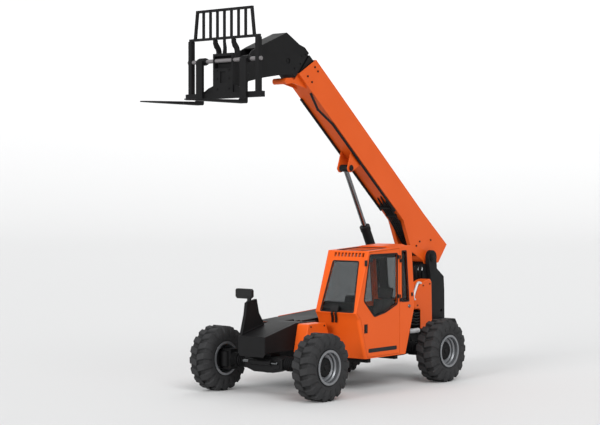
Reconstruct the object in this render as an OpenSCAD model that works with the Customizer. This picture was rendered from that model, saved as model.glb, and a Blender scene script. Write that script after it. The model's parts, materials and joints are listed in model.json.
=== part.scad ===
// Telescopic handler on four steered wheels, its boom parked part way up with level forks.
// Forward is -Y, the cab is on the left (+X), and the wheels stand on Z = 0.

/* [Wheels] */
// Outside diameter of a tyre over its lugs
tyre_d = 1070; // [1040:10:1100]
// Lugs along each shoulder of a tyre
lug_count = 18; // [16:1:20]
// Height of a lug
lug_h = 34; // [26:1:40]
// Width of a tyre at its widest
tyre_w = 390; // [372:2:400]
// Diameter of the rim where the tyre's bead sits
bead_d = 508; // [496:2:520]
// Height of the rim's flange above the bead seat
flange_h = 25; // [18:1:30]
// Thickness of the rim's flange
flange_t = 12; // [8:1:14]
// Width of the rim between its flanges
rim_w = 344; // [330:2:352]
// Thickness of the rim's barrel
rim_t = 14; // [10:1:18]
// Diameter of the hub in the middle of the rim
hub_d = 300; // [270:5:320]
// Distance between the front and rear axles
wheelbase = 3300; // [3260:10:3360]
// Distance between the middles of the left and right tyres
track = 2180; // [2160:10:2240]

/* [Axles] */
// Distance from a tyre's middle in to its king pin
king_offset = 160; // [154:2:174]
// Diameter of the king pin
king_d = 60; // [50:2:70]
// Diameter of the axle tube
axle_d = 190; // [160:5:200]
// Diameter of the differential's housing
diff_d = 340; // [300:10:350]
// Height of the room for the knuckle inside the axle's yoke
yoke_gap = 250; // [230:5:260]
// Thickness of each arm of the yoke
yoke_t = 40; // [30:1:46]
// Diameter of the spindle that carries the hub
spindle_d = 140; // [120:2:150]

/* [Frame] */
// Half the width of the frame between the cab and the engine
rail_half = 235; // [228:1:237]
// Thickness of the frame's side plates
plate_t = 25; // [16:1:28]
// Half the width of the frame at its nose and its tower
frame_half = 285; // [275:1:295]
// Front end of the frame, ahead of the middle of the wheelbase
nose_y = 2050; // [2000:10:2100]
// Rear end of the frame, behind the middle of the wheelbase
stern_y = 2936; // [2900:4:2980]
// Height of the frame's belly
belly_z = 480; // [450:5:500]
// Height of the frame's underside over the axles
arch_z = 720; // [710:5:740]
// Height of the side plates between the cab and the engine
waist_z = 930; // [900:5:960]
// Radius of the tie-down holes
tie_r = 28; // [20:1:34]

/* [Boom] */
// Height of the boom's pivot
pivot_z = 2090; // [2070:5:2110]
// Distance of the boom's pivot behind the middle of the wheelbase
pivot_y = 2550; // [2530:5:2570]
// Angle of the boom as parked
boom_angle = 40; // [38:1:42]
// Width of the outer boom
boom_w = 340; // [330:2:350]
// Underside of the outer boom, above the line through its pivot
boom_low = 50; // [46:1:60]
// Top of the outer boom, above the line through its pivot
boom_high = 530; // [520:2:550]
// Wall of each boom section
boom_t = 14; // [10:1:15]
// Room between one boom section and the next
boom_gap = 18; // [16:1:20]
// Front end of the outer boom, from its pivot
boom_len = 4700; // [4660:10:4720]
// Diameter of the boom's pivot pin
pivot_d = 110; // [90:2:120]
// Running clearance round a pin in its bore
pin_fit = 0.05; // [0.02:0.01:0.1]

/* [Lift cylinder] */
// Distance of the rod's eye along the boom
lift_u = 2700; // [2680:5:2720]
// Depth of the rod's eye below the line through the boom's pivot
lift_n = 192; // [190:2:206]
// Distance of the cylinder's foot behind the middle of the wheelbase
foot_y = 1950; // [1940:2:1966]
// Height of the cylinder's foot
foot_z = 750; // [746:2:770]
// Outside diameter of the barrel
lift_barrel_d = 165; // [150:5:170]
// Length of the barrel from the foot's pin to its gland
lift_barrel_len = 2200; // [2100:10:2205]
// Diameter of the rod
lift_rod_d = 84; // [70:1:88]
// Radius of the rod's eye
eye_r = 58; // [52:1:58]
// Diameter of the pins at the cylinder's ends
lift_pin_d = 80; // [60:2:84]

/* [Fork carriage] */
// Distance of the tilt pin ahead of the third boom section
head_reach = 937; // [925:1:950]
// Depth of the tilt pin below the line through the boom's pivot
tilt_n = 876; // [868:1:884]
// Diameter of the tilt pin
tilt_d = 70; // [60:1:80]
// Width of the boom's head
head_w = 300; // [280:2:306]
// Distance of the carriage's back ahead of the tilt pin
carriage_back = 245; // [242:1:270]
// Depth of the carriage's posts
post_d = 80; // [70:1:90]
// Distance between the middles of the carriage's posts
post_span = 1410; // [1380:10:1440]
// Depth of the posts' feet below the tilt pin
post_foot = 280; // [270:5:290]
// Height of the posts' tops above the tilt pin
post_top = 550; // [540:5:570]
// Height of the fork shaft above the tilt pin
shaft_z = 220; // [210:5:230]
// Diameter of the fork shaft
shaft_d = 64; // [50:2:68]
// Height of the load guard above the posts
guard_h = 480; // [440:10:520]
// Distance between the middles of the forks
fork_span = 920; // [880:10:960]
// Width of a fork
fork_w = 130; // [110:5:150]
// Thickness of a fork at its heel
fork_t = 55; // [45:1:60]
// Length of a fork's blade
fork_len = 1315; // [1150:5:1400]

/* [Cab] */
// Outer face of the cab's left wall
cab_left_x = 1080; // [1070:2:1090]
// Outer face of the cab's right wall
cab_right_x = 240; // [240:1:250]
// Thickness of the cab's walls
wall_t = 40; // [34:1:44]
// Height of the cab floor's underside
floor_z = 560; // [554:2:570]
// Height of the cab roof's rear edge
roof_z = 2373; // [2360:1:2390]
// Gap all round the door
door_gap = 6; // [5:1:8]
// Rear edge of the door's opening, behind the middle of the wheelbase
door_rear_y = 455; // [445:1:465]
// Thickness of the window glass
pane_t = 6; // [4:1:8]

/* [Engine bay] */
// Distance of the engine hood's outer face from the middle
hood_x = 1140; // [1120:5:1160]
// Height of the engine hood's top at its rear end
hood_z = 1190; // [1170:5:1200]
// Fall of the engine hood's top towards the front, in degrees
hood_slope = 3.5; // [2:0.5:5]
// Front end of the engine bay, ahead of the middle of the wheelbase
bay_front_y = 780; // [760:5:800]
// Rear end of the engine bay, behind the middle of the wheelbase
bay_rear_y = 940; // [920:5:950]
// Height of the split between the engine bay and its hood, at the rear end
split_z = 880; // [860:5:900]
// Thickness of the engine bay's sheet
sheet_t = 8; // [6:1:10]

/* [Hidden] */
$fn = 48;

paint = "#E0602A";
black = "#26272A";
rubber = "#38383A";
steel = "#B9BABC";
glass = [0.45, 0.47, 0.5, 0.5];

// Gap of pieces that sit in or on one another without a pin
seat_gap = 0.3;

tyre_r = tyre_d / 2;
bead_r = bead_d / 2;
axle_y = wheelbase / 2;
king_x = track / 2 - king_offset;

// Directions along the boom and square to it, as [Y, Z] in the machine's frame
along = [-cos(boom_angle), sin(boom_angle)];
square_up = [sin(boom_angle), cos(boom_angle)];
function on_boom(u, n) = [pivot_y, pivot_z] + u * along + n * square_up;

mid_front = boom_len + 45;
inner_front = boom_len + 90;
tilt_u = inner_front + head_reach;
tilt_pin = on_boom(tilt_u, -tilt_n);
tail_u = 333;
tail_high = 560;
fork_face = carriage_back + post_d + seat_gap;
front_end = tilt_pin[0] - fork_face - fork_len;
rear_end = on_boom(-tail_u, tail_high)[0];
y_mid = -(front_end + rear_end) / 2;

// Places a piece that is drawn from the middle of the wheelbase
module machine() {
    translate([0, y_mid, 0]) children();
}

// Places a piece that is drawn from the boom's pivot, with -Y along the boom
module boom_frame() {
    machine() translate([0, pivot_y, pivot_z]) rotate([-boom_angle, 0, 0]) children();
}

// Places a piece that is drawn from the tilt pin, with the forks level
module carriage_frame() {
    machine() translate([0, tilt_pin[0], tilt_pin[1]]) children();
}

// Extrudes an outline of [Y, Z] points from x0 to x1
module slab(x0, x1) {
    translate([x0, 0, 0]) rotate([90, 0, 90]) linear_extrude(x1 - x0) children();
}

// The same slab on both sides of the machine
module slab_pair(x0, x1) {
    slab(x0, x1) children();
    slab(-x1, -x0) children();
}

// A round bar along X
module bar_x(x0, x1, y, z, r) {
    translate([x0, y, z]) rotate([0, 90, 0]) cylinder(r = r, h = x1 - x0);
}

// A box given by its low and high corners
module box(low, high) {
    translate(low) cube(high - low);
}

// Boom points are written [distance along, height] and drawn with -Y along the boom
function boom_pts(pts) = [for (p = pts) [-p[0], p[1]]];

// An outline moved inwards by d, for points listed anticlockwise
function unit(v) = v / norm(v);
function left_normal(v) = [-v[1], v[0]];
function cross2(a, b) = a[0] * b[1] - a[1] * b[0];
function meet(p, d, q, e) = p + d * cross2(q - p, e) / cross2(d, e);
function inset(pts, d) = [
    for (i = [0 : len(pts) - 1])
        let (a = pts[(i + len(pts) - 1) % len(pts)], b = pts[i], c = pts[(i + 1) % len(pts)])
        meet(b + d * left_normal(unit(b - a)), b - a, b + d * left_normal(unit(c - b)), c - b)
];

// Points of an arc round c, from angle a0 to a1
function arc(c, r, a0, a1, n = 6) = [
    for (i = [0 : n]) let (a = a0 + (a1 - a0) * i / n) c + r * [cos(a), sin(a)]
];

// Share of its length by which a plate runs past a corner to be welded there
lap = 0.02;

// A band along the edge p to q: from share f0 to f1 of its length, depths d0 to d1 to its left
module band(p, q, f0, f1, d0, d1) {
    n = left_normal(unit(q - p));
    a = p + f0 * (q - p);
    b = p + f1 * (q - p);
    polygon([a + d0 * n, b + d0 * n, b + d1 * n, a + d1 * n]);
}

// Frame: two side plates, doubled at the nose and the tower, with cross plates between them
rail_in = rail_half - plate_t;
boss_r = 130;
waist_front = -760;
waist_rear = 1500;
tail_floor_z = 620;
cross_t = 30;
foot_lug_x = 62;
foot_lug_t = 26;
foot_lug_r = 82;
beam_h = 80;
nose_knee = [-1286, 1158];
tower_front = [2493, 1709];
tower_base = [2532, 985];
front_t = 20;
tie_x = 130;
tie_z = 850;
tie_rear = [stern_y - 110, 1120];

module side_outline() {
    difference() {
        union() {
            polygon([
                [-nose_y, arch_z], [-1300, arch_z], [-1150, belly_z], [1050, belly_z],
                [1200, arch_z], [1850, arch_z], [1920, tail_floor_z], [stern_y, tail_floor_z],
                [stern_y - 11, 1491], [stern_y - 31, 1735], [2690, 1887],
                [pivot_y + boss_r * 0.95, pivot_z - 30], [pivot_y - boss_r * 0.95, pivot_z - 30],
                tower_front, tower_base, [waist_rear, waist_z], [waist_front + 120, waist_z],
                [waist_front, nose_knee[1]], nose_knee, [-nose_y, 978]
            ]);
            translate([pivot_y, pivot_z]) circle(r = boss_r);
        }
        translate([pivot_y, pivot_z]) circle(d = pivot_d + 2 * pin_fit);
        translate(tie_rear) circle(r = tie_r);
    }
}

// A side plate, welded up to the frame's outer width at the nose and the tower
module frame_side() {
    slab(rail_in, rail_half) side_outline();
    slab(rail_half, frame_half) intersection() {
        side_outline();
        union() {
            translate([-nose_y, 0]) square([nose_y + waist_front, 3000]);
            translate([waist_rear, 0]) square([stern_y, 3000]);
        }
    }
}

module frame_left() {
    color(black) machine() {
        frame_side();
        for (y = [-330, 420])
            box([rail_half, y, floor_z - beam_h], [cab_left_x - 80, y + 90, floor_z]);
    }
}

module frame_right() {
    color(black) machine() {
        mirror([1, 0, 0]) frame_side();
        for (y = [-560, 620])
            box([-hood_x + 60, y, belly_z - 60], [-rail_in, y + 90, belly_z]);
    }
}

// Cross plates between the side plates, the lift cylinder's foot and the boom's pin
module main_frame() {
    pan_t = 25;
    cap_r = 80;
    cap_t = 14;
    color(black) machine() {
        difference() {
            slab(-rail_in, rail_in) {
                polygon([
                    [-nose_y, arch_z], [-nose_y + front_t, arch_z], [-nose_y + front_t, 962], [-1290, 1138],
                    [waist_front - 260, 1138], [waist_front - 260, nose_knee[1]], nose_knee, [-nose_y, 978]
                ]);
                translate([-nose_y, arch_z]) square([nose_y - 1290, cross_t]);
                band([-1300, arch_z], [-1150, belly_z], -lap, 1 + lap, 0, pan_t);
                translate([-1150, belly_z]) square([2200, pan_t]);
                band([1050, belly_z], [1200, arch_z], -lap, 1 + lap, 0, pan_t);
                translate([1190, arch_z]) square([540, cross_t]);
                translate([1920, tail_floor_z]) square([stern_y - 1920, cross_t]);
                translate([stern_y - 60, tail_floor_z]) square([25, 900]);
                translate([tower_front[0] + 27, 1480]) square([25, 370]);
            }
            for (side = [-1, 1])
                translate([side * tie_x, -nose_y - 1, tie_z]) rotate([-90, 0, 0])
                    cylinder(r = tie_r, h = front_t + 2);
        }
        slab_pair(foot_lug_x, foot_lug_x + foot_lug_t) hull() {
            translate([foot_y, foot_z]) circle(r = foot_lug_r, $fn = 32);
            translate([foot_y - 30, tail_floor_z + cross_t - 5]) square([150, 5]);
        }
        bar_x(-foot_lug_x - foot_lug_t, foot_lug_x + foot_lug_t, foot_y, foot_z, lift_pin_d / 2);
        bar_x(-frame_half - cap_t, frame_half + cap_t, pivot_y, pivot_z, pivot_d / 2);
        for (side = [0, 1]) mirror([side, 0, 0])
            bar_x(frame_half + seat_gap, frame_half + cap_t, pivot_y, pivot_z, cap_r);
    }
}

module counterweight() {
    half = 560;
    color(black) machine() {
        for (side = [-1, 1])
            slab(side > 0 ? frame_half : -half, side > 0 ? half : -frame_half) polygon([
                [2330, 700], [2480, 520], [stern_y - 120, 520], [stern_y, 640],
                [stern_y, 900], [stern_y - 60, 985], [2380, 985], [2330, 930]
            ]);
        box([-frame_half, 2330, 520], [frame_half, stern_y - 120, tail_floor_z]);
    }
}

// Axle: tube, differential, mounting pad and a yoke at each end for the king pin
module axle(y) {
    color(black) machine() translate([0, y, tyre_r]) {
        bar_x(-king_x + 160, king_x - 160, 0, 0, axle_d / 2);
        sphere(d = diff_d, $fn = 64);
        box([-150, -110, 0], [150, 110, arch_z - tyre_r]);
        for (side = [0, 1]) mirror([side, 0, 0]) {
            for (i = [0 : 4])
                bar_x(king_x - 330 + 28 * i, king_x - 314 + 28 * i, 0, 0, axle_d / 2 + 24);
            slab(king_x - 190, king_x - 145) square([170, yoke_gap + 2 * yoke_t], center = true);
            difference() {
                for (z = [-yoke_gap / 2 - yoke_t, yoke_gap / 2]) translate([0, 0, z]) {
                    box([king_x - 150, -70, 0], [king_x, 70, yoke_t]);
                    translate([king_x, 0, 0]) cylinder(r = 70, h = yoke_t);
                }
                translate([king_x, 0, -500]) cylinder(r = king_d / 2 + pin_fit, h = 1000);
            }
        }
    }
}

module front_axle() {
    axle(-axle_y);
}

module rear_axle() {
    axle(axle_y);
}

// A wheel's corner: +X points outwards from the wheel's middle on either side
module corner(side, end) {
    machine() translate([side * track / 2, end * axle_y, tyre_r]) mirror([side < 0 ? 1 : 0, 0, 0]) children();
}

// A shape turned about the wheel's axis from [radius, distance outwards] points
module turned() {
    rotate([0, 90, 0]) rotate_extrude($fn = 96) children();
}

hub_in = -40;
hub_out = 96;
spindle_out = 60;

module knuckle(side, end) {
    pin_h = yoke_gap + 2 * yoke_t;
    color(black) corner(side, end) {
        translate([-king_offset, 0, -yoke_gap / 2 + 5]) cylinder(r = 95, h = yoke_gap - 10);
        translate([-king_offset, 0, -pin_h / 2]) cylinder(d = king_d, h = pin_h);
        bar_x(-king_offset, spindle_out, 0, 0, spindle_d / 2);
        bar_x(-75, hub_in - 10, 0, 0, hub_d / 2);
    }
}

module rim(side, end) {
    hub_r = hub_d / 2;
    bore_r = spindle_d / 2 + pin_fit;
    flange_z = rim_w / 2 + flange_t;
    color(steel) corner(side, end) turned() {
        polygon([
            [bead_r - rim_t, -flange_z], [bead_r + flange_h, -flange_z], [bead_r + flange_h, -rim_w / 2],
            [bead_r, -rim_w / 2], [bead_r, rim_w / 2], [bead_r + flange_h, rim_w / 2],
            [bead_r + flange_h, flange_z], [bead_r + flange_h - 10, flange_z + 4], [bead_r - rim_t, flange_z],
            [bead_r - rim_t, 118], [bead_r - rim_t - 20, 100], [bead_r - rim_t - 24, 66],
            [hub_r + 34, 44], [hub_r, 44], [hub_r, hub_out - 15], [hub_r - 15, hub_out], [0, hub_out],
            [0, spindle_out + 10], [bore_r, spindle_out + 10], [bore_r, hub_in], [hub_r, hub_in],
            [hub_r, 22], [hub_r + 34, 22], [bead_r - rim_t - 24, 40], [bead_r - rim_t, 60]
        ]);
    }
}

// Tyre: rings of a cross-section set round the axle, whose tread steps out to a lug on one half
// and then on the other. Each lug's walls lean outwards, and its shoulder trails its inner end.
lug_pitch = 180 / lug_count;
lug_wall = 1.1;
lug_spread = 1.2;
lug_trail = 4;
function lug_half(ring) = floor((ring + 4 * lug_count - 1) / 2) % 2 == 0 ? -1 : 1;
function lug_edge(ring, half) = (floor(ring / 2) % 2 == 0) == (half < 0) ? -lug_spread : lug_spread;
function tyre_ring(ring) =
    let (
        half_w = tyre_w / 2,
        in_r = (bead_r + seat_gap) / cos(lug_pitch / 2),
        bead_x = rim_w / 2 - 22,
        on = lug_half(ring),
        wall = ring % 2 == 0 ? -lug_wall : lug_wall,
        start = floor(ring / 2) * lug_pitch + wall + lug_spread - lug_wall
    ) [
        for (half = [-1, 1])
            let (
                drop = on == half ? 0 : lug_h,
                turn = start + lug_edge(ring, half),
                pts = [
                    [in_r, bead_x, start],
                    [bead_r + flange_h + 90, half_w, start],
                    [tyre_r - 82 - drop / 2, half_w - drop / 3, turn - lug_trail],
                    [tyre_r - drop, half_w - 44, turn - lug_trail],
                    [tyre_r - drop, 7, turn]
                ]
            )
            for (i = [0 : 4])
                let (q = pts[half < 0 ? i : 4 - i]) [half * q[1], q[0] * sin(q[2]), -q[0] * cos(q[2])]
    ];

module tyre(side, end) {
    rings = 4 * lug_count;
    points = 10;
    color(rubber) corner(side, end) polyhedron(
        points = [for (ring = [0 : rings - 1]) each tyre_ring(ring)],
        faces = [
            for (ring = [0 : rings - 1], i = [0 : points - 1])
                let (
                    a = ring * points + i,
                    b = ring * points + (i + 1) % points,
                    c = (ring + 1) % rings * points + (i + 1) % points,
                    d = (ring + 1) % rings * points + i
                )
                each [[a, b, c], [a, c, d]]
        ]
    );
}

// Cab: a ring of floor, rear, roof and front between two side walls
cab_outline = [
    [-494, floor_z], [618, floor_z], [880, 1360], [790, roof_z],
    [-400, roof_z - 63], [-740, 1310], [-674, 1204]
];
cab_inside = inset(cab_outline, wall_t);
cab_in_x = cab_right_x + wall_t;
cab_out_x = cab_left_x - wall_t;
frame_in = 20;
pane_rim = 50;
door_window = [[-526, 1505], [-247, 1235], [68, 1294], [390, 1414], [389, 2252], [-367, 2250]];
quarter_window = [[526, 1440], [719, 1440], [637, 2290], [513, 2290]];
hinge_r = 10;
hinge_x = cab_left_x + hinge_r + 1;
hinge_zs = [1445, 2100];
hinge_h = 60;
door_in = 45;
corner_rounds = [[4, 18], [5, 18], [6, 45]];
skylight = [600, 580];
skylight_rim = 80;
sky_from = 541;

// The door's outline follows the cab's, but leaves a wider strip along the lower front
last = len(cab_outline) - 1;
door_outline = [for (i = [0 : last]) cab_outline[i] + [i == 0 || i == last ? door_in : 0, 0]];

// Draws on side i of the cab's ring: X across, Y along it from its first point, Z inwards
function edge_len(i) = norm(cab_outline[(i + 1) % len(cab_outline)] - cab_outline[i]);
module on_edge(i) {
    p = cab_outline[i];
    v = cab_outline[(i + 1) % len(cab_outline)] - p;
    translate([0, p[0], p[1]]) rotate([atan2(v[1], v[0]), 0, 0]) children();
}

// One side of the cab's ring, between outline points i and i + 1
module cab_edge(i) {
    j = (i + 1) % len(cab_outline);
    polygon([cab_outline[i], cab_outline[j], cab_inside[j], cab_inside[i]]);
}

// The window opening in edge i, less gap all round, from depth d0 to d1
module cab_window(i, f0, f1, gap, d0, d1) {
    p = cab_outline[i];
    q = cab_outline[i + 1];
    share = gap / norm(q - p);
    slab(cab_in_x + pane_rim + gap, cab_out_x - pane_rim - gap) band(p, q, f0 + share, f1 - share, d0, d1);
}

module right_window() {
    intersection() {
        polygon(inset(cab_outline, wall_t + pane_rim));
        translate([-2000, 1400]) square([4000, 2000]);
    }
}

// The doorway's outline, moved in by d
module doorway(d) {
    intersection() {
        polygon(inset(door_outline, frame_in + d));
        translate([-2000, 0]) square([2000 + door_rear_y - d, 4000]);
    }
}

module cab_floor() {
    color(black) machine() slab(cab_in_x, cab_out_x) cab_edge(0);
}

// The windscreen's outline on the upper front, less gap all round
module windscreen(gap) {
    top = 0.165 * edge_len(4) + gap;
    bottom = 0.985 * edge_len(4) - gap;
    polygon([
        [cab_in_x + 107 + gap, top], [cab_out_x - 115 - gap, top],
        [cab_out_x - 14 - gap, bottom], [cab_in_x + 54 + gap, bottom]
    ]);
}

module cab_front() {
    slots = 9;
    pitch = (cab_out_x - cab_in_x - 115) / slots;
    color(paint) machine() difference() {
        slab(cab_in_x, cab_out_x) {
            cab_edge(4);
            cab_edge(5);
            cab_edge(6);
        }
        on_edge(4) translate([0, 0, -20]) linear_extrude(wall_t + 40) {
            windscreen(0);
            for (i = [0 : slots - 1])
                translate([cab_in_x + 105 + i * pitch, 32]) square([0.64 * pitch, 70]);
        }
    }
}

module cab_rear() {
    color(paint) machine() difference() {
        slab(cab_in_x, cab_out_x) {
            cab_edge(1);
            cab_edge(2);
        }
        cab_window(2, 0.1, 0.92, 0, -20, wall_t + 20);
    }
}

// Roof: a barred skylight in front and a raised panel behind
module cab_roof() {
    bars = 4;
    x0 = cab_in_x + skylight_rim;
    color(paint) machine() {
        difference() {
            slab(cab_in_x, cab_out_x) cab_edge(3);
            on_edge(3) translate([x0, sky_from, -20]) cube([skylight[0], skylight[1], wall_t + 40]);
        }
        on_edge(3) {
            for (i = [1 : bars])
                translate([x0 + skylight[0] * i / (bars + 1) - 12, sky_from - 5, 4])
                    cube([24, skylight[1] + 10, 24]);
            translate([0, sky_from - 40, 0]) rotate([90, 0, 0]) linear_extrude(sky_from - 80) polygon([
                [cab_in_x + 30, 1], [cab_in_x + 130, -24], [cab_out_x - 130, -24], [cab_out_x - 30, 1]
            ]);
        }
    }
}

// Takes off the left corner along side i of the cab's ring, leaving a round of radius r
module corner_cut(i, r) {
    on_edge(i) difference() {
        box([cab_left_x - r, -20, -1], [cab_left_x + 1, edge_len(i) + 20, r]);
        translate([cab_left_x - r, -30, r]) rotate([-90, 0, 0]) cylinder(r = r, h = edge_len(i) + 60);
    }
}

module cab_left() {
    color(paint) machine() {
        difference() {
            slab(cab_out_x, cab_left_x) difference() {
                polygon(cab_outline);
                doorway(0);
                polygon(quarter_window);
            }
            for (c = corner_rounds) corner_cut(c[0], c[1]);
        }
        for (z = hinge_zs) {
            box([cab_left_x, door_rear_y + 20, z], [cab_left_x + 6, door_rear_y + 52, z + hinge_h]);
            box([cab_left_x + 4, door_rear_y, z], [cab_left_x + 10, door_rear_y + 52, z + hinge_h]);
            translate([hinge_x, door_rear_y, z]) cylinder(r = hinge_r, h = hinge_h);
        }
    }
}

module cab_right() {
    color(paint) machine() slab(cab_right_x, cab_in_x) difference() {
        polygon(cab_outline);
        right_window();
    }
}

module cab_glass() {
    mid = wall_t / 2;
    color(glass) machine() {
        on_edge(4) translate([0, 0, mid - pane_t / 2]) linear_extrude(pane_t) windscreen(seat_gap);
        on_edge(3) translate([cab_in_x + skylight_rim + seat_gap, sky_from + seat_gap, wall_t - 1 - pane_t])
            cube([skylight[0] - 2 * seat_gap, skylight[1] - 2 * seat_gap, pane_t]);
        cab_window(2, 0.1, 0.92, seat_gap, mid - pane_t / 2, mid + pane_t / 2);
        slab(cab_right_x + mid - pane_t / 2, cab_right_x + mid + pane_t / 2) intersection() {
            polygon(inset(cab_outline, wall_t + pane_rim + seat_gap));
            translate([-2000, 1400 + seat_gap]) square([4000, 2000]);
        }
        slab(cab_left_x - mid - pane_t / 2, cab_left_x - mid + pane_t / 2)
            polygon(inset(quarter_window, seat_gap));
    }
}

module door() {
    color(paint) machine() {
        difference() {
            slab(cab_out_x, cab_left_x) difference() {
                doorway(door_gap);
                polygon(door_window);
            }
            box([cab_left_x - 14, -519, 976], [cab_left_x + 1, -423, 1126]);
        }
        for (z = hinge_zs) {
            low = z + hinge_h + 2;
            high = z + 2 * hinge_h;
            box([cab_left_x, door_rear_y - 60, low], [cab_left_x + 6, door_rear_y - 20, high]);
            box([cab_left_x + 4, door_rear_y - 60, low], [cab_left_x + 10, door_rear_y, high]);
            translate([hinge_x, door_rear_y, low]) cylinder(r = hinge_r, h = high - low);
        }
    }
}

module door_glass() {
    mid = wall_t / 2;
    color(glass) machine()
        slab(cab_left_x - mid - pane_t / 2, cab_left_x - mid + pane_t / 2)
            polygon(inset(door_window, seat_gap));
}

// Seat and controls stand on the cab's floor
cab_mid_x = (cab_left_x + cab_right_x) / 2 + 20;
deck_z = floor_z + wall_t;

module seat() {
    color(rubber) machine() translate([cab_mid_x, 0, deck_z]) {
        box([-170, 90, 0], [170, 430, 220]);
        slab(-240, 240)
            polygon([[20, 260], [40, 220], [500, 220], [500, 330], [440, 340], [60, 370], [20, 340]]);
        slab(-225, 225) polygon([[440, 340], [500, 330], [610, 860], [560, 890], [520, 860]]);
    }
}

module cab_controls() {
    wheel_r = 190;
    color(black) machine() translate([cab_mid_x, -380, deck_z]) {
        slab(-60, 60) polygon([[-20, 0], [90, 0], [100, 520], [60, 620], [20, 620]]);
        translate([0, 70, 640]) rotate([-35, 0, 0]) {
            translate([0, 0, -60]) cylinder(r = 28, h = 90);
            rotate_extrude() translate([wheel_r - 14, 14]) circle(r = 14);
            for (a = [90, 210, 330]) rotate([0, 0, a]) translate([0, -14, 6]) cube([wheel_r - 14, 28, 14]);
        }
        box([-370, 300, 0], [-280, 780, 470]);
        translate([-325, 420, 470]) cylinder(r1 = 16, r2 = 12, h = 170);
        translate([-325, 420, 650]) sphere(r = 30);
    }
}

// Orange cover ahead of the cab, on the left of the nose
module front_cover() {
    color(paint) machine() slab(frame_half, 520) polygon([
        [-1361, 690], [waist_front - 10, 690], [waist_front + 15, 976], [waist_front - 55, 1145],
        [-1240, 1145], [-1265, 1120]
    ]);
}

// Engine bay on the right: an open tray with a tall inner wall that carries the hood's hinge
bay_in_x = 300;
bay_len = bay_front_y + bay_rear_y;
hood_len = bay_len / cos(hood_slope);
hood_depth = hood_z - split_z;
hood_hinge_x = bay_in_x + sheet_t / 2;
hood_hinge_up = 14;
knuckle_len = 80;

// Places a piece that is drawn from the top of the hood's rear end, with -Y along the hood
module hood_frame() {
    machine() translate([0, bay_rear_y, hood_z]) rotate([hood_slope, 0, 0]) children();
}

// Side view of the bay, from its belly up to depth d below the hood's top
module bay_outline(d) {
    polygon([
        [-bay_front_y, belly_z], [bay_rear_y, belly_z],
        [bay_rear_y, hood_z - d], [-bay_front_y, hood_z - d - bay_len * tan(hood_slope)]
    ]);
}

module engine_bay() {
    color(black) {
        machine() {
            box([-hood_x, -bay_front_y, belly_z], [-bay_in_x, bay_rear_y, belly_z + sheet_t]);
            slab(-hood_x, -hood_x + sheet_t) bay_outline(hood_depth);
            slab(-bay_in_x - sheet_t, -bay_in_x) bay_outline(0);
            slab(-hood_x, -bay_in_x) intersection() {
                bay_outline(hood_depth);
                for (y = [-bay_front_y, bay_rear_y - sheet_t]) translate([y, 0]) square([sheet_t, 3000]);
            }
        }
        hood_frame() for (y = [120 - hood_len, -2.5 * knuckle_len])
            translate([-hood_hinge_x, y, hood_hinge_up]) rotate([-90, 0, 0]) {
                cylinder(r = 9, h = knuckle_len);
                translate([-4, 0, 0]) cube([8, hood_hinge_up + 2, knuckle_len]);
            }
    }
}

module engine_block() {
    color("#6E6F70") machine() {
        box([-930, -480, belly_z + sheet_t], [-480, 560, 960]);
        box([-860, -380, 960], [-560, 460, 1090]);
        translate([-705, 560, 720]) rotate([-90, 0, 0]) cylinder(r = 190, h = 120);
    }
}

hood_round = 90;
hood_in = bay_in_x + sheet_t + 6;
hood_low = 6 - hood_depth;
function hood_arc(r, a0, a1) = arc([hood_round - hood_x, -hood_round], r, a0, a1);

// Cross-section of the hood's sheet, and of the plate that closes each end
module hood_sheet() {
    polygon([
        [-hood_in, -sheet_t], [-hood_in, 0], each hood_arc(hood_round, 90, 180),
        [-hood_x, hood_low], [-hood_x + sheet_t, hood_low], each hood_arc(hood_round - sheet_t, 180, 90)
    ]);
}

module hood_end() {
    polygon([[-hood_in, hood_low], [-hood_in, 0], each hood_arc(hood_round, 90, 180), [-hood_x, hood_low]]);
}

module engine_hood() {
    color(paint) hood_frame() {
        difference() {
            rotate([90, 0, 0]) linear_extrude(hood_len) hood_sheet();
            for (y = [-700 : 60 : -160])
                box([-hood_x - 1, y, hood_low + 54], [-hood_x + sheet_t + 1, y + 26, -hood_round - 20]);
        }
        for (y = [sheet_t - hood_len, 0])
            translate([0, y, 0]) rotate([90, 0, 0]) linear_extrude(sheet_t) hood_end();
        for (y = [122 + knuckle_len - hood_len, 2 - 1.5 * knuckle_len])
            translate([-hood_hinge_x, y, hood_hinge_up]) rotate([-90, 0, 0]) {
                cylinder(r = 9, h = knuckle_len);
                translate([-60, 4, 0]) cube([60, 10, knuckle_len]);
            }
    }
}

tank_x = 560;
tank_rear = 1480;

module hydraulic_tank() {
    color(black) machine() {
        slab(rail_half, tank_x) polygon([
            [930, 560], [980, 500], [tank_rear, 500], [tank_rear, 1010], [930, 1010]
        ]);
        for (y = [960 : 80 : tank_rear - 60])
            slab(tank_x, tank_x + 12) translate([y, 540]) square([36, 430]);
        translate([tank_x - 60, tank_rear, 840]) rotate([-90, 0, 0]) cylinder(r = 40, h = 230);
    }
}

// Valves on the frame's side, between the tank and the rear panel
module valve_block() {
    low = [frame_half, waist_rear + 10, 930];
    color(black) machine() {
        box(low, low + [160, 150, 250]);
        for (z = [40, 100, 160, 220])
            bar_x(low[0] + 150, low[0] + 200, low[1] + 75, low[2] + z, 24);
    }
}

module rear_panel() {
    color(paint) machine() slab(frame_half, 500) polygon([
        [1700, 1215], [1710, 1382], [1801, 1574], [1884, 1661], [2041, 1713], [2171, 1728],
        [2213, 1673], [2239, 860], [1870, 860], [1870, 1190], [1830, 1215]
    ]);
}

// Mirror on a pedestal that stands on the nose's right side
function nose_top(y) = 978 + (y + nose_y) * (nose_knee[1] - 978) / (nose_knee[0] + nose_y);

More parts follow.
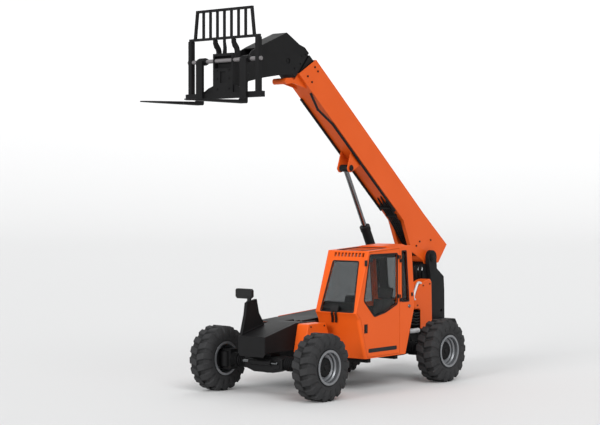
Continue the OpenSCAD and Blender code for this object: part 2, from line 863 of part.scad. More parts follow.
module front_mirror() {
    foot_front = -2030;
    foot_rear = -1480;
    color(black) machine() {
        slab(-frame_half, -frame_half + 60) polygon([
            [foot_front, nose_top(foot_front) + seat_gap], [foot_rear, nose_top(foot_rear) + seat_gap],
            [-1514, 1181], [-1609, 1318], [-1665, 1545], [-1865, 1512], [-1907, 1490], [-1934, 1307]
        ]);
        translate([-375, -1800, 1632]) {
            cube([350, 60, 160], center = true);
            translate([100, 0, -110]) cylinder(r = 16, h = 60);
        }
    }
}

// Boom sections are box tubes, each inside the one before
step_in = boom_t + boom_gap;
function half_w(i) = boom_w / 2 - i * step_in;
function low_n(i) = boom_low + i * step_in;
function high_n(i) = boom_high - i * step_in;
section_rear = 320;

// A box tube of section i from u0 to u1
module section(i, u0, u1) {
    hw = half_w(i);
    inner = hw - boom_t;
    translate([0, -u1, 0]) difference() {
        box([-hw, 0, low_n(i)], [hw, u1 - u0, high_n(i)]);
        box([-inner, -1, low_n(i) + boom_t], [inner, u1 - u0 + 1, high_n(i) - boom_t]);
    }
}

// Wear pads inside the front end of section i that carry the next section
module wear_pads(i, u1) {
    pad = boom_gap - seat_gap;
    x = half_w(i) - boom_t;
    low = low_n(i) + boom_t;
    high = high_n(i) - boom_t;
    for (side = [0, 1]) mirror([side, 0, 0])
        box([x - pad, -u1 + 20, low + 60], [x, -u1 + 170, high - 60]);
    box([-x + 40, -u1 + 20, low], [x - 40, -u1 + 170, low + pad]);
    box([-x + 40, -u1 + 20, high - pad], [x - 40, -u1 + 170, high]);
}

lift_lug_x = 96;
lift_lug_t = 22;
tail_rear_low = 140;
gusset = [[1000, boom_low], [430, -220], [150, -150]];
front_slant = 175;
bracket = [boom_len + 190, -215];
bracket_x = 95;
bracket_t = 20;

module tail_outline() {
    polygon(boom_pts([
        [-tail_u, tail_high], [-tail_u, tail_rear_low], [-105, -80], gusset[2], gusset[1], gusset[0],
        [1100, boom_low], [1100, boom_high], [590, boom_high]
    ]));
    circle(r = 150);
}

module boom_outer() {
    hw = half_w(0);
    color(paint) boom_frame() {
        difference() {
            section(0, 1000, boom_len + 75);
            slab(-hw - 1, hw + 1) polygon(boom_pts([
                [boom_len + 75, boom_low - 1], [boom_len + 80, boom_low - 1],
                [boom_len + 80, boom_high + 1], [boom_len + 75 - front_slant, boom_high + 1]
            ]));
        }
        wear_pads(0, boom_len + 60 - front_slant);
        slab_pair(bracket_x, bracket_x + bracket_t) polygon(boom_pts([
            [boom_len - 280, boom_low + 2], [boom_len + 50, boom_low + 2], [boom_len + 62, -70],
            [boom_len + 130, -85], bracket + [35, 30], bracket + [25, -45], bracket - [35, 35],
            [boom_len + 50, -130]
        ]));
        bar_x(-bracket_x - bracket_t - 25, bracket_x + bracket_t + 25, -bracket[0], bracket[1], 50);
        slab_pair(hw - boom_t, hw) difference() {
            tail_outline();
            circle(d = pivot_d + 2 * pin_fit);
        }
        slab(-hw, hw) {
            band([-590, boom_high], [-1100, boom_high], 0, 1, 0, boom_t);
            band([tail_u, tail_high], [-590, boom_high], 0, 1 + lap, 0, boom_t);
            band([tail_u, tail_rear_low], [tail_u, tail_high], 0, 1, 0, boom_t);
        }
        slab_pair(hw - 70, hw) band(boom_pts(gusset)[0], boom_pts(gusset)[1], -lap, 1, 0, boom_t);
        difference() {
            bar_x(-rail_in + 5, rail_in - 5, 0, 0, 95);
            bar_x(-rail_in, rail_in, 0, 0, pivot_d / 2 + pin_fit);
        }
        slab_pair(lift_lug_x, lift_lug_x + lift_lug_t) hull() {
            translate([-lift_u, -lift_n]) circle(r = 72, $fn = 32);
            translate([-lift_u - 170, boom_low]) square([340, 1]);
        }
        for (side = [0, 1]) mirror([side, 0, 0])
            bar_x(lift_lug_x + lift_lug_t, lift_lug_x + lift_lug_t + 14, -lift_u, -lift_n, lift_pin_d / 2);
    }
}

// Hoses clipped along the boom's lower edges; the left one bows out near the front, with a collar
// at each bend
module boom_hoses() {
    hose_r = 20;
    collar_r = hose_r + 3;
    x = half_w(0) - collar_r - 1;
    n0 = boom_low - collar_r - seat_gap;
    left = [[1300, n0], [boom_len - 1130, n0], [boom_len - 680, -50], [boom_len - 370, n0]];
    color(black) boom_frame() {
        translate([-x, -boom_len + 500, boom_low - hose_r - seat_gap]) rotate([-90, 0, 0])
            cylinder(r = hose_r, h = boom_len - 1800);
        for (i = [0 : 2]) {
            v = left[i + 1] - left[i];
            translate([x, -left[i][0], left[i][1]]) {
                rotate([90 - atan2(v[1], v[0]), 0, 0]) cylinder(r = hose_r, h = norm(v));
                sphere(r = collar_r);
            }
        }
    }
}

module boom_mid() {
    color(black) boom_frame() {
        section(1, section_rear, mid_front);
        wear_pads(1, mid_front);
    }
}

module boom_inner() {
    color(black) boom_frame() section(2, section_rear, inner_front);
}

// Head: a gooseneck of two plates with the tilt pin at its nose
nose_r = 140;
head_t = 25;
function ahead(d, n) = [inner_front + d, n];
tilt_base = ahead(305, 36);
head_back = [ahead(0, -45), ahead(0, 500), ahead(133, 500)];
head_top = [ahead(269, 440), ahead(618, 367), ahead(950, -250), ahead(1041, -441)];
head_bottom = [ahead(78, -45), ahead(296, -267), ahead(578, -591)];

module head_outline() {
    polygon(boom_pts([
        each head_back, each head_top, [tilt_u + 0.9 * nose_r, -tilt_n], [tilt_u, -tilt_n - 0.9 * nose_r],
        [tilt_u - 0.7 * nose_r, -tilt_n - 50], head_bottom[2], head_bottom[1], head_bottom[0]
    ]));
    translate([-tilt_u, -tilt_n]) circle(r = nose_r);
}

module boom_head() {
    hw = head_w / 2;
    recess = 12;
    top = boom_pts(head_top);
    bottom = boom_pts(head_bottom);
    color(black) boom_frame() {
        difference() {
            slab_pair(hw - head_t, hw) head_outline();
            bar_x(-hw - 1, hw + 1, -tilt_u, -tilt_n, tilt_d / 2 + pin_fit);
            for (side = [0, 1]) mirror([side, 0, 0])
                bar_x(hw - recess, hw + 1, -tilt_base[0], tilt_base[1], 50);
        }
        slab(-hw + 1, hw - 1) {
            polygon(boom_pts([each head_back, ahead(133, -100), head_bottom[0]]));
            band(boom_pts(head_back)[2], top[0], -lap, 1 + lap, 0, 20);
            for (i = [0 : 2])
                band(top[i], top[i + 1], 0, i < 2 ? 1 : 0.4, 0, 20);
            for (i = [0 : 1])
                band(bottom[i + 1], bottom[i], i < 1 ? 0 : 0.35, 1 + lap, 0, 20);
        }
        bar_x(-hw + recess / 2, hw - recess / 2, -tilt_base[0], tilt_base[1], 30);
    }
}

// Lift cylinder, drawn along Z from its foot
lift_eye = on_boom(lift_u, -lift_n);
lift_len = norm(lift_eye - [foot_y, foot_z]);
lift_rise = atan2(lift_eye[1] - foot_z, foot_y - lift_eye[0]);

module lift_frame() {
    machine() translate([0, foot_y, foot_z]) rotate([90 - lift_rise, 0, 0]) children();
}

module lift_barrel() {
    wall = 18;
    color(black) lift_frame() difference() {
        union() {
            translate([0, 0, 110]) cylinder(d = lift_barrel_d, h = lift_barrel_len - 110);
            translate([0, 0, lift_barrel_len - 90]) cylinder(d = lift_barrel_d + 16, h = 90);
            bar_x(-foot_lug_x + 5, foot_lug_x - 5, 0, 0, 72);
            box([-45, -60, 0], [45, 60, 115]);
        }
        bar_x(-100, 100, 0, 0, lift_pin_d / 2 + pin_fit);
        translate([0, 0, 200]) cylinder(d = lift_barrel_d - 2 * wall, h = lift_barrel_len - 260);
        translate([0, 0, 200]) cylinder(d = lift_rod_d + 2 * seat_gap, h = lift_barrel_len);
    }
}

module lift_rod() {
    half = lift_lug_x - 12;
    inside = 920;
    color(steel) lift_frame() {
        translate([0, 0, lift_barrel_len - inside])
            cylinder(d = lift_rod_d, h = lift_len - lift_barrel_len + inside);
        translate([0, 0, lift_len]) {
            bar_x(-half, half, 0, 0, eye_r);
            bar_x(-half - 6, half + 6, 0, 0, lift_pin_d / 2);
        }
    }
}

// Tilt cylinder inside the head, drawn along Z from its base pin
tilt_lug = [-50, 245];
tilt_base_at = on_boom(tilt_base[0], tilt_base[1]);
tilt_lug_at = tilt_pin + tilt_lug;
tilt_len = norm(tilt_lug_at - tilt_base_at);
tilt_rise = atan2(tilt_lug_at[1] - tilt_base_at[1], tilt_base_at[0] - tilt_lug_at[0]);
tilt_barrel_len = 600;

module tilt_frame() {
    machine() translate([0, tilt_base_at[0], tilt_base_at[1]]) rotate([90 - tilt_rise, 0, 0]) children();
}

module tilt_barrel() {
    color(black) tilt_frame() difference() {
        union() {
            translate([0, 0, 30]) cylinder(d = 120, h = tilt_barrel_len - 30);
            bar_x(-45, 45, 0, 0, 58);
        }
        bar_x(-60, 60, 0, 0, 30 + 2 * pin_fit);
        translate([0, 0, 110]) cylinder(d = 56 + 2 * seat_gap, h = tilt_barrel_len);
    }
}

module tilt_rod() {
    color(steel) tilt_frame() {
        translate([0, 0, tilt_barrel_len - 240]) cylinder(d = 56, h = tilt_len - tilt_barrel_len + 240);
        translate([0, 0, tilt_len]) bar_x(-40, 40, 0, 0, 45);
    }
}

// Fork carriage, drawn from the tilt pin
ear_x = head_w / 2 + 28;
ear_t = 30;
post_w = 70;
bar_h = 90;
bar_half = post_span / 2 + 95;
front_y = -carriage_back - post_d;

// An ear holds the tilt pin, and its upper end sweeps back behind the fork shaft to the load guard
module ear_outline() {
    upper = [-carriage_back + 20, post_top - 50];
    lower = [front_y + 20, post_top - 188];
    polygon([
        [front_y, -post_foot - 1], [-carriage_back, -post_foot - 1], [-70, -40], [-70, 40], [-150, 270],
        each arc(lower, 126, 0, 60), each arc(upper, 34, 240, 180), [upper[0] - 34, post_top],
        [upper[0] - 80, post_top], each arc(upper, 80, 180, 240), each arc(lower, 80, 60, 0),
        [lower[0] + 80, 330], [front_y, 330]
    ]);
    circle(r = 80);
}

module carriage() {
    shaft_y = front_y + post_d / 2;
    color(black) carriage_frame() {
        for (side = [-1, 1]) translate([side * post_span / 2, 0, 0])
            difference() {
                box([-post_w / 2, front_y, -post_foot], [post_w / 2, -carriage_back, post_top]);
                bar_x(-post_w, post_w, shaft_y, shaft_z, shaft_d / 2 + seat_gap);
            }
        box([-bar_half, front_y, -post_foot - bar_h], [bar_half, -carriage_back, -post_foot]);
        slab_pair(ear_x, ear_x + ear_t) difference() {
            ear_outline();
            translate([shaft_y, shaft_z]) circle(d = shaft_d + 2 * seat_gap);
        }
        box([-ear_x, front_y, 290], [ear_x, -carriage_back, 330]);
        slab(-ear_t / 2, ear_t / 2) polygon([
            [front_y + 10, 329], [-carriage_back, 329], [-carriage_back, post_top - 120],
            [shaft_y + 20, post_top - 40], [shaft_y + 20, post_top], [shaft_y - 20, post_top],
            [shaft_y - 20, post_top - 60], [front_y + 25, post_top - 140]
        ]);
        difference() {
            box([-ear_x, front_y, -post_foot - 1], [ear_x, front_y + 20, 100]);
            box([-55, front_y - 1, -130], [55, front_y + 21, 50]);
        }
        slab_pair(50, 72) hull() {
            translate(tilt_lug) circle(r = 46, $fn = 32);
            translate([-carriage_back - 10, 290]) square([10, 40]);
        }
        bar_x(-ear_x - ear_t - 15, ear_x + ear_t + 15, 0, 0, tilt_d / 2);
    }
}

module fork_shaft() {
    color(steel) carriage_frame()
        bar_x(-post_span / 2 - 60, post_span / 2 + 60, front_y + post_d / 2, shaft_z, shaft_d / 2);
}

module load_guard() {
    base_half = 645;
    top_half = 590;
    rail = 40;
    y0 = -carriage_back - post_d / 2 - rail / 2;
    bars = 7;
    color(black) carriage_frame() translate([0, y0, post_top]) {
        box([-post_span / 2 - 35, 0, 0], [post_span / 2 + 35, rail, rail]);
        box([-top_half, 0, guard_h - rail], [top_half, rail, guard_h]);
        for (side = [0, 1]) mirror([side, 0, 0])
            translate([0, rail, 0]) rotate([90, 0, 0]) linear_extrude(rail) polygon([
                [base_half, 1], [base_half - rail, 1], [top_half - rail, guard_h - 1], [top_half, guard_h - 1]
            ]);
        for (i = [1 : bars])
            translate([-top_half + 2 * top_half * i / (bars + 1), rail / 2, rail - 1])
                translate([-15, -19, 0]) cube([30, 38, guard_h - 2 * rail + 2]);
    }
}

// A fork: an eye on the shaft, a shank against the carriage's bar and a tapered blade
module fork(side) {
    heel_z = -post_foot - bar_h - 95;
    shaft_y = front_y + post_d / 2;
    tip_t = 18;
    back = -fork_face;
    half = fork_w / 2;
    tip = back - fork_len;
    taper = [38, 330];
    color(black) carriage_frame() translate([side * fork_span / 2, 0, 0]) difference() {
        union() {
            slab(-half, half) polygon([
                [back, shaft_z + 10], [back, heel_z + 20], [back - 20, heel_z], [tip, heel_z],
                [tip, heel_z + tip_t], [back - fork_t - 30, heel_z + fork_t],
                [back - fork_t, heel_z + fork_t + 30], [back - fork_t, shaft_z + 10]
            ]);
            bar_x(-half, half, shaft_y, shaft_z, shaft_d / 2 + 28);
        }
        bar_x(-half - 1, half + 1, shaft_y, shaft_z, shaft_d / 2 + seat_gap);
        for (m = [0, 1]) mirror([m, 0, 0]) translate([0, 0, heel_z - 1]) linear_extrude(fork_t + 2) polygon([
            [half - taper[0], tip - 1], [half + 1, tip - 1],
            [half + 1, tip + taper[1]], [half, tip + taper[1]]
        ]);
    }
}

main_frame();
frame_left();
frame_right();
counterweight();
front_axle();
rear_axle();
knuckle(1, -1);  // front_left_knuckle
knuckle(-1, -1);  // front_right_knuckle
knuckle(1, 1);  // rear_left_knuckle
knuckle(-1, 1);  // rear_right_knuckle
rim(1, -1);  // front_left_rim
rim(-1, -1);  // front_right_rim
rim(1, 1);  // rear_left_rim
rim(-1, 1);  // rear_right_rim
tyre(1, -1);  // front_left_tyre
tyre(-1, -1);  // front_right_tyre
tyre(1, 1);  // rear_left_tyre
tyre(-1, 1);  // rear_right_tyre
cab_floor();
cab_front();
cab_rear();
cab_roof();
cab_left();
cab_right();
cab_glass();
seat();
cab_controls();
door();
door_glass();
front_cover();
engine_bay();
engine_block();
engine_hood();
hydraulic_tank();
valve_block();
rear_panel();
front_mirror();
boom_outer();
boom_hoses();
boom_mid();
boom_inner();
boom_head();
lift_barrel();
lift_rod();
tilt_barrel();
tilt_rod();
carriage();
fork_shaft();
load_guard();
fork(1);  // left_fork
fork(-1);  // right_fork
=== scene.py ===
# %% [markdown]
# # A telescopic handler, dressed over its solids
# The solids of the machine come from the CAD source and stay where they are. This lesson gives them
# their looks: rounded edges that catch the light, ribbed tyres, seals, hoses, bolts and paint.
# Forward is -Y, the cab is on the +X side, and all sizes are metres.

# %% Load the frame
import json
import math

import bpy
from mathutils import Matrix, Vector

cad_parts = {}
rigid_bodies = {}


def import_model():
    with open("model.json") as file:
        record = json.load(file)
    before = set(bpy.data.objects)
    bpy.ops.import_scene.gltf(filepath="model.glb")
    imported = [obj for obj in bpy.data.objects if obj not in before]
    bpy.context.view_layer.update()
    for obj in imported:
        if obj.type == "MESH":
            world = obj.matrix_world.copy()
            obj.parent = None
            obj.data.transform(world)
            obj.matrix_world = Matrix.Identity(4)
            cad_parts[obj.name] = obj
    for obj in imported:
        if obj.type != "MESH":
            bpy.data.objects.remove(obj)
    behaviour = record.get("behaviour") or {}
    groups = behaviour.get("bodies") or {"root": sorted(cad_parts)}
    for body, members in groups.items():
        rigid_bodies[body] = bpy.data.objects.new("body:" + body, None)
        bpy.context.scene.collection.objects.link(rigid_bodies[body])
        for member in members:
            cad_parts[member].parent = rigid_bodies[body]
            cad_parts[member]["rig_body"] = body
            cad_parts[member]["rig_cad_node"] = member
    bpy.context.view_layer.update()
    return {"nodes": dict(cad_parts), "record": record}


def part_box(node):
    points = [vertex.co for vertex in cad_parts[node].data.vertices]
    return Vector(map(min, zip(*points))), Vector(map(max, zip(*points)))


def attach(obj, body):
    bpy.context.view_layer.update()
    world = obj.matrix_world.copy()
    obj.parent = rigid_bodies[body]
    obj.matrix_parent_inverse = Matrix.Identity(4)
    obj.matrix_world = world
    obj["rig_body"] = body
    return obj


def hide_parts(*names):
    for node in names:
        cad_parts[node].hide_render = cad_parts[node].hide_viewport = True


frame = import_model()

nodes = frame["nodes"]
record = frame["record"]

# %% [markdown]
# ## Camera, floor and light
# The machine was seen from the front left, a little above the ground, through a long lens, so its
# upright lines stay upright. The camera is set at that place first, because every later choice is
# judged through it.

# %% Camera
scene = bpy.context.scene
bpy.ops.object.select_all(action="DESELECT")
camera_back = Vector((0.6394, -0.7688, 0.0149))
bpy.ops.object.camera_add(
    location=(16.485, -20.232, 3.32),
    rotation=(-camera_back).to_track_quat("-Z", "Y").to_euler(),
)
camera = bpy.context.active_object
camera.data.sensor_width = 36.0
camera.data.lens = 93.9
camera.data.clip_end = 400.0
scene.camera = camera
print("camera:", tuple(round(c, 2) for c in camera.location))

# %% [markdown]
# A colour is written as the hex value that a screen shows, and one function turns it to the linear
# numbers that a shader works in. One other function adds a node to a material: it takes the node's
# kind, its settings, and what is linked into it.

# %% Colour and node helpers
def linear(hex_colour):
    """The linear colour of an sRGB hex value."""
    parts = [int(hex_colour[i:i + 2], 16) / 255 for i in (1, 3, 5)]
    return tuple(p / 12.92 if p <= 0.04045 else ((p + 0.055) / 1.055) ** 2.4 for p in parts) + (1.0,)


def add_node(tree, kind, settings=None, links=None):
    """Adds a node, sets its sockets or attributes, and links other nodes' outputs into it."""
    node = tree.nodes.new(kind)
    for name, value in (settings or {}).items():
        if name in node.inputs:
            node.inputs[name].default_value = value
        else:
            setattr(node, name, value)
    for name, source in (links or {}).items():
        tree.links.new(source, node.inputs[name])
    return node


# %% [markdown]
# The floor is a studio's sweep: a wide pale disc whose rim curves up all round, so that no horizon
# line cuts the picture from any side. It starts as a filled circle, and its edge is extruded
# outwards and upwards in a few steps. A plane with a wall behind it would show its corner.

# %% Floor
flat_radius, rim_reach, rim_height, rim_steps = 70.0, 36.0, 20.0, 8
bpy.ops.object.select_all(action="DESELECT")
bpy.ops.mesh.primitive_circle_add(vertices=96, radius=flat_radius, fill_type="NGON")
floor = bpy.context.active_object
floor.name = "studio_floor"
bpy.ops.object.mode_set(mode="EDIT")
bpy.ops.mesh.select_all(action="SELECT")
reach, height = flat_radius, 0.0
for step in range(1, rim_steps + 1):
    turn = math.radians(90 * step / rim_steps)
    wider = flat_radius + rim_reach * math.sin(turn)
    higher = rim_height * (1 - math.cos(turn))
    bpy.ops.mesh.extrude_region_move(TRANSFORM_OT_translate={"value": (0, 0, higher - height)})
    bpy.ops.transform.resize(value=(wider / reach, wider / reach, 1.0), center_override=(0, 0, 0))
    reach, height = wider, higher
bpy.ops.mesh.delete(type="ONLY_FACE")
bpy.ops.object.mode_set(mode="OBJECT")
bpy.ops.object.shade_smooth()
floor_finish = bpy.data.materials.new("pale_studio_floor")
floor_finish.use_nodes = True
floor_shader = floor_finish.node_tree.nodes["Principled BSDF"]
floor_shader.inputs["Base Color"].default_value = linear("#D2D2D2")
floor_shader.inputs["Roughness"].default_value = 0.9
floor.data.materials.append(floor_finish)
print("floor:", len(floor.data.polygons), "faces")

# %% [markdown]
# The light is an even sky and three wide, soft suns: a high one from the cab's side, a low one from
# the front and a weak one from behind. Lamps would light the near floor more than the far one, and
# suns light both alike, so the ground keeps one tone behind the machine.

# %% Light
sky = bpy.data.worlds.new("studio_sky")
sky.use_nodes = True
sky.node_tree.nodes["Background"].inputs["Color"].default_value = linear("#F4F5F6")
sky.node_tree.nodes["Background"].inputs["Strength"].default_value = 0.62
scene.world = sky
scene.view_settings.view_transform = "Standard"

suns = (
    ("key_sun", (9, -6, 9), 1.9, 35), ("front_sun", (0, -12, 3.9), 1.8, 24),
    ("rim_sun", (-6, 10, 9), 0.6, 50),
)
for lamp_name, place, strength, angle in suns:
    aim = (-Vector(place)).to_track_quat("-Z", "Y")
    bpy.ops.object.light_add(type="SUN", location=place, rotation=aim.to_euler())
    lamp = bpy.context.active_object
    lamp.name = lamp_name
    lamp.data.energy = strength
    lamp.data.angle = math.radians(angle)
print("light: sky and", len(suns), "suns")

# %% [markdown]
# ## Finishes
# Each finish is named for the real coating. All of them read Object coordinates in metres, so a
# pattern's scale is one over its real size. Paint is never one flat colour: broad, faint patches
# stand for uneven film and handling dust, and a fine grain breaks up the gloss.

# %% Materials
def new_finish(name):
    """A node material and its shader."""
    finish = bpy.data.materials.new(name)
    finish.use_nodes = True
    return finish, finish.node_tree.nodes["Principled BSDF"]


def set_shader(shader, **values):
    """Sets the constants of a shader on its own sockets."""
    for name, value in values.items():
        shader.inputs[name.replace("_", " ")].default_value = value


def coat(name, light, dark, patch_mm, rough, grain_mm, grain, gloss=0.5, metal=0.0):
    """A coating whose colour drifts over patches and whose surface has a fine grain."""
    finish, shader = new_finish(name)
    tree = finish.node_tree
    place = add_node(tree, "ShaderNodeTexCoord").outputs["Object"]
    patches = add_node(
        tree, "ShaderNodeTexNoise", {"Scale": 1000 / patch_mm, "Detail": 4.0}, {"Vector": place},
    )
    tint = add_node(
        tree, "ShaderNodeMix", {"data_type": "RGBA", "A": linear(light), "B": linear(dark)},
        {"Factor": patches.outputs["Fac"]},
    )
    tree.links.new(tint.outputs["Result"], shader.inputs["Base Color"])
    spread = add_node(
        tree, "ShaderNodeMapRange",
        {"From Min": 0.3, "From Max": 0.7, "To Min": rough - 0.05, "To Max": rough + 0.05},
        {"Value": patches.outputs["Fac"]},
    )
    tree.links.new(spread.outputs["Result"], shader.inputs["Roughness"])
    fine = add_node(tree, "ShaderNodeTexNoise", {"Scale": 1000 / grain_mm, "Detail": 2.0}, {"Vector": place})
    bump = add_node(
        tree, "ShaderNodeBump", {"Strength": grain, "Distance": 0.001}, {"Height": fine.outputs["Fac"]},
    )
    tree.links.new(bump.outputs["Normal"], shader.inputs["Normal"])
    set_shader(shader, Specular_IOR_Level=gloss, Metallic=metal)
    return finish


finishes = {
    # Baked enamel on sheet steel: a bright orange with a soft gloss and a trace of orange peel
    "orange_paint": coat("baked_orange_enamel", "#DC5A18", "#D25214", 700, 0.42, 6, 0.05, 0.18),
    # Powder coat on welded plate: a satin black that greys a little where it is handled
    "black_paint": coat("black_powder_coat", "#111112", "#0B0B0C", 450, 0.60, 3, 0.10, 0.2),
    # Paint over a sand casting: the mould's grit shows through it
    "black_casting": coat("painted_sand_casting", "#151516", "#0E0E0F", 300, 0.66, 7, 0.35, 0.2),
    # Silver wheel enamel: a fine metallic flake with a dull sheen
    "wheel_silver": coat("silver_wheel_enamel", "#8F9194", "#75777A", 260, 0.36, 2, 0.05, metal=0.7),
    # Filled natural rubber, moulded: nearly black, matt, with a grey bloom
    "tyre_rubber": coat("moulded_tyre_rubber", "#343435", "#272728", 180, 0.80, 5, 0.30, 0.25),
    # Vinyl over foam: black, with an embossed grain that dulls its gloss
    "seat_vinyl": coat("grained_black_vinyl", "#1C1C1C", "#141415", 200, 0.55, 4, 0.45, 0.3),
    # Moulded plastic from a sparked mould: even, dark and slightly rough
    "control_plastic": coat("moulded_black_plastic", "#161617", "#0F0F10", 160, 0.52, 2, 0.15, 0.3),
    # Engine enamel over rough iron: a worn mid grey
    "engine_iron": coat("grey_engine_paint", "#5E6062", "#4A4C4E", 240, 0.50, 6, 0.25),
    # Hard chrome, ground and polished: it mirrors the floor and the sky in grey streaks
    "bright_steel": coat("ground_hard_chrome", "#7E8082", "#6A6C6E", 120, 0.22, 2, 0.04, metal=1.0),
    # Extruded rubber: matt black with a faint bloom
    "hose_rubber": coat("extruded_black_rubber", "#141415", "#0C0C0D", 120, 0.64, 3, 0.20, 0.25),
}

# Painted shade in the tread: the grooves between the lugs are painted near black, and the faces of the lugs
# keep the rubber's own grey.
# How deep a point lies between the lugs is read from how open the space is within 60 mm of it, by ambient
# occlusion
tyre_tree = finishes["tyre_rubber"].node_tree
tyre_shader = tyre_tree.nodes["Principled BSDF"]
rubber_tint = tyre_shader.inputs["Base Color"].links[0].from_socket
# ambient occlusion finds the closed-in hollows of the tread that get the painted shade
groove_shade_ao = add_node(
    tyre_tree, "ShaderNodeAmbientOcclusion", {"Distance": 0.06, "samples": 8, "only_local": True},
)
groove_shade_mask = add_node(
    tyre_tree, "ShaderNodeMapRange", {"From Min": 0.60, "From Max": 0.96}, {"Value": groove_shade_ao.outputs["AO"]},
)
# the near-black colour is the painted shade of the grooves; the rubber's own tint stays on the faces of the
# lugs
painted_groove_shade = add_node(
    tyre_tree, "ShaderNodeMix", {"data_type": "RGBA", "A": linear("#0B0B0B")},
    {"Factor": groove_shade_mask.outputs["Result"], "B": rubber_tint},
)
tyre_tree.links.new(painted_groove_shade.outputs["Result"], tyre_shader.inputs["Base Color"])

# Tinted safety glass: it greys what is behind it and hardly mirrors the sky
glass, glass_shader = new_finish("grey_tinted_safety_glass")
set_shader(glass_shader, Base_Color=linear("#727374"), Roughness=0.03, IOR=1.18, Transmission_Weight=0.97)
finishes["tinted_glass"] = glass

# Clear safety glass in the windscreen and the door, so that the dark cab shows through it
clear_glass, clear_shader = new_finish("clear_safety_glass")
set_shader(clear_shader, Base_Color=linear("#E6EAEA"), Roughness=0.02, IOR=1.18, Transmission_Weight=1.0)

# Bright plate: a light silver that stays white under any sky
bright_plate = coat("bright_zinc_plate", "#D2D4D6", "#C0C2C4", 90, 0.40, 2, 0.05, metal=0.35)

# Oiled round bar: bare steel that the forks have rubbed grey
oiled_bar = coat("oiled_round_bar", "#807D7E", "#6C696A", 90, 0.45, 2, 0.05, metal=0.3)

for part in record["subparts"]:
    node = nodes[part["node"]]
    node.data.materials.clear()
    node.data.materials.append(finishes[part["material_slot"]])
nodes["door_glass"].data.materials[0] = clear_glass
nodes["fork_shaft"].data.materials[0] = oiled_bar
slot_of = {part["node"]: part["material_slot"] for part in record["subparts"]}
body_of = {n: b for b, members in record["behaviour"]["bodies"].items() for n in members}
print("finishes:", len(finishes), "slots")

# %% [markdown]
# ## Edges
# No sheet or plate has a razor edge: the press, the torch and the paint round it. The quickest
# honest way to show that is to copy a solid, merge its loose triangles, clear the edges that lie in
# flat faces, and bevel what is left by its angle. A weighted normal keeps the flat faces flat.

# %% Tools for one piece
def pick(piece):
    """Selects one object alone and makes it the active one."""
    if bpy.context.mode != "OBJECT":
        bpy.ops.object.mode_set(mode="OBJECT")
    bpy.ops.object.select_all(action="DESELECT")
    piece.select_set(True)
    bpy.context.view_layer.objects.active = piece


def apply_modifier(piece, kind, **settings):
    """Adds a modifier with its settings and applies it at once."""
    pick(piece)
    bpy.ops.object.modifier_add(type=kind)
    modifier = piece.modifiers[-1]
    for name, value in settings.items():
        setattr(modifier, name, value)
    bpy.ops.object.modifier_apply(modifier=modifier.name)


def soften(piece, width, segments=2, limit=32):
    """Rounds a piece's sharp edges and shades it so that flat faces stay flat."""
    apply_modifier(
        piece, "BEVEL", width=width, segments=segments, limit_method="ANGLE",
        angle_limit=math.radians(limit), use_clamp_overlap=True,
    )
    bpy.ops.object.shade_smooth_by_angle(angle=math.radians(40))
    apply_modifier(piece, "WEIGHTED_NORMAL", keep_sharp=True)
    return piece


def hand_over(piece, body, slot, finish=None):
    """Gives a finished piece its coating and lets it ride on its body."""
    pick(piece)
    bpy.ops.object.transform_apply(location=True, rotation=True, scale=True)
    piece.data.materials.clear()
    piece.data.materials.append(finish or finishes[slot])
    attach(piece, body)
    return piece


# %% [markdown]
# Each piece takes the edge that its making gives it: a few millimetres on folded sheet and torched
# plate, more on a casting. Modelling every piece anew would do it too, but a copy keeps the solid's
# outline, and the copy then stands for the solid.

# %% Rounded copies of the solids
def merged_copy(node_name, name):
    """A copy of a solid with its triangles merged, left in edit mode with all of it selected."""
    pick(nodes[node_name])
    bpy.ops.object.duplicate()
    piece = bpy.context.active_object
    piece.name = name
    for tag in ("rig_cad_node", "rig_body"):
        del piece[tag]
    bpy.ops.object.parent_clear(type="CLEAR")
    bpy.ops.object.mode_set(mode="EDIT")
    bpy.ops.mesh.select_all(action="SELECT")
    bpy.ops.mesh.remove_doubles(threshold=0.00005)
    bpy.ops.mesh.dissolve_limited(angle_limit=math.radians(0.4))
    return piece


def rounded_copy(node_name, width):
    """A copy of a solid with its sharp edges rounded, which stands for it."""
    piece = merged_copy(node_name, node_name + "_rounded")
    bpy.ops.object.mode_set(mode="OBJECT")
    soften(piece, width)
    hand_over(piece, body_of[node_name], slot_of[node_name])
    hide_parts(node_name)


corners = [end + "_" + side for end in ("front", "rear") for side in ("left", "right")]
edge_width = {
    "cab_front": 0.006, "cab_rear": 0.006, "cab_roof": 0.006, "cab_left": 0.005, "cab_right": 0.005,
    "door": 0.005, "front_cover": 0.014, "rear_panel": 0.016, "engine_hood": 0.003, "boom_outer": 0.005,
    "boom_head": 0.005, "main_frame": 0.004, "frame_left": 0.005, "frame_right": 0.005,
    "counterweight": 0.014, "carriage": 0.004, "load_guard": 0.004, "left_fork": 0.004,
    "right_fork": 0.004, "hydraulic_tank": 0.008, "engine_bay": 0.002,
    "valve_block": 0.003, "cab_floor": 0.003, "cab_controls": 0.004, "engine_block": 0.010,
    "lift_barrel": 0.004, "boom_mid": 0.003, "boom_inner": 0.003,
}
edge_width.update({corner + "_tyre": 0.007 for corner in corners})
edge_width.update({corner + "_rim": 0.003 for corner in corners})
for node_name, width in edge_width.items():
    rounded_copy(node_name, width)
print("rounded:", len(edge_width), "solids")

# %% [markdown]
# The cab's fixed panes are one solid, but the windscreen is clear and the others are tinted. A copy
# of them is taken apart into its loose panes, and the foremost one gets the clear glass.

# %% Panes of the cab
merged_copy("cab_glass", "cab_pane")
bpy.ops.mesh.separate(type="LOOSE")
bpy.ops.object.mode_set(mode="OBJECT")
panes = sorted(bpy.context.selected_objects, key=lambda pane: min(v.co.y for v in pane.data.vertices))
for number, pane in enumerate(panes):
    pane.name = "cab_pane_" + str(number) if number else "windscreen_pane"
    hand_over(pane, "chassis", "tinted_glass", None if number else clear_glass)
    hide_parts("cab_glass")
print("panes:", len(panes))

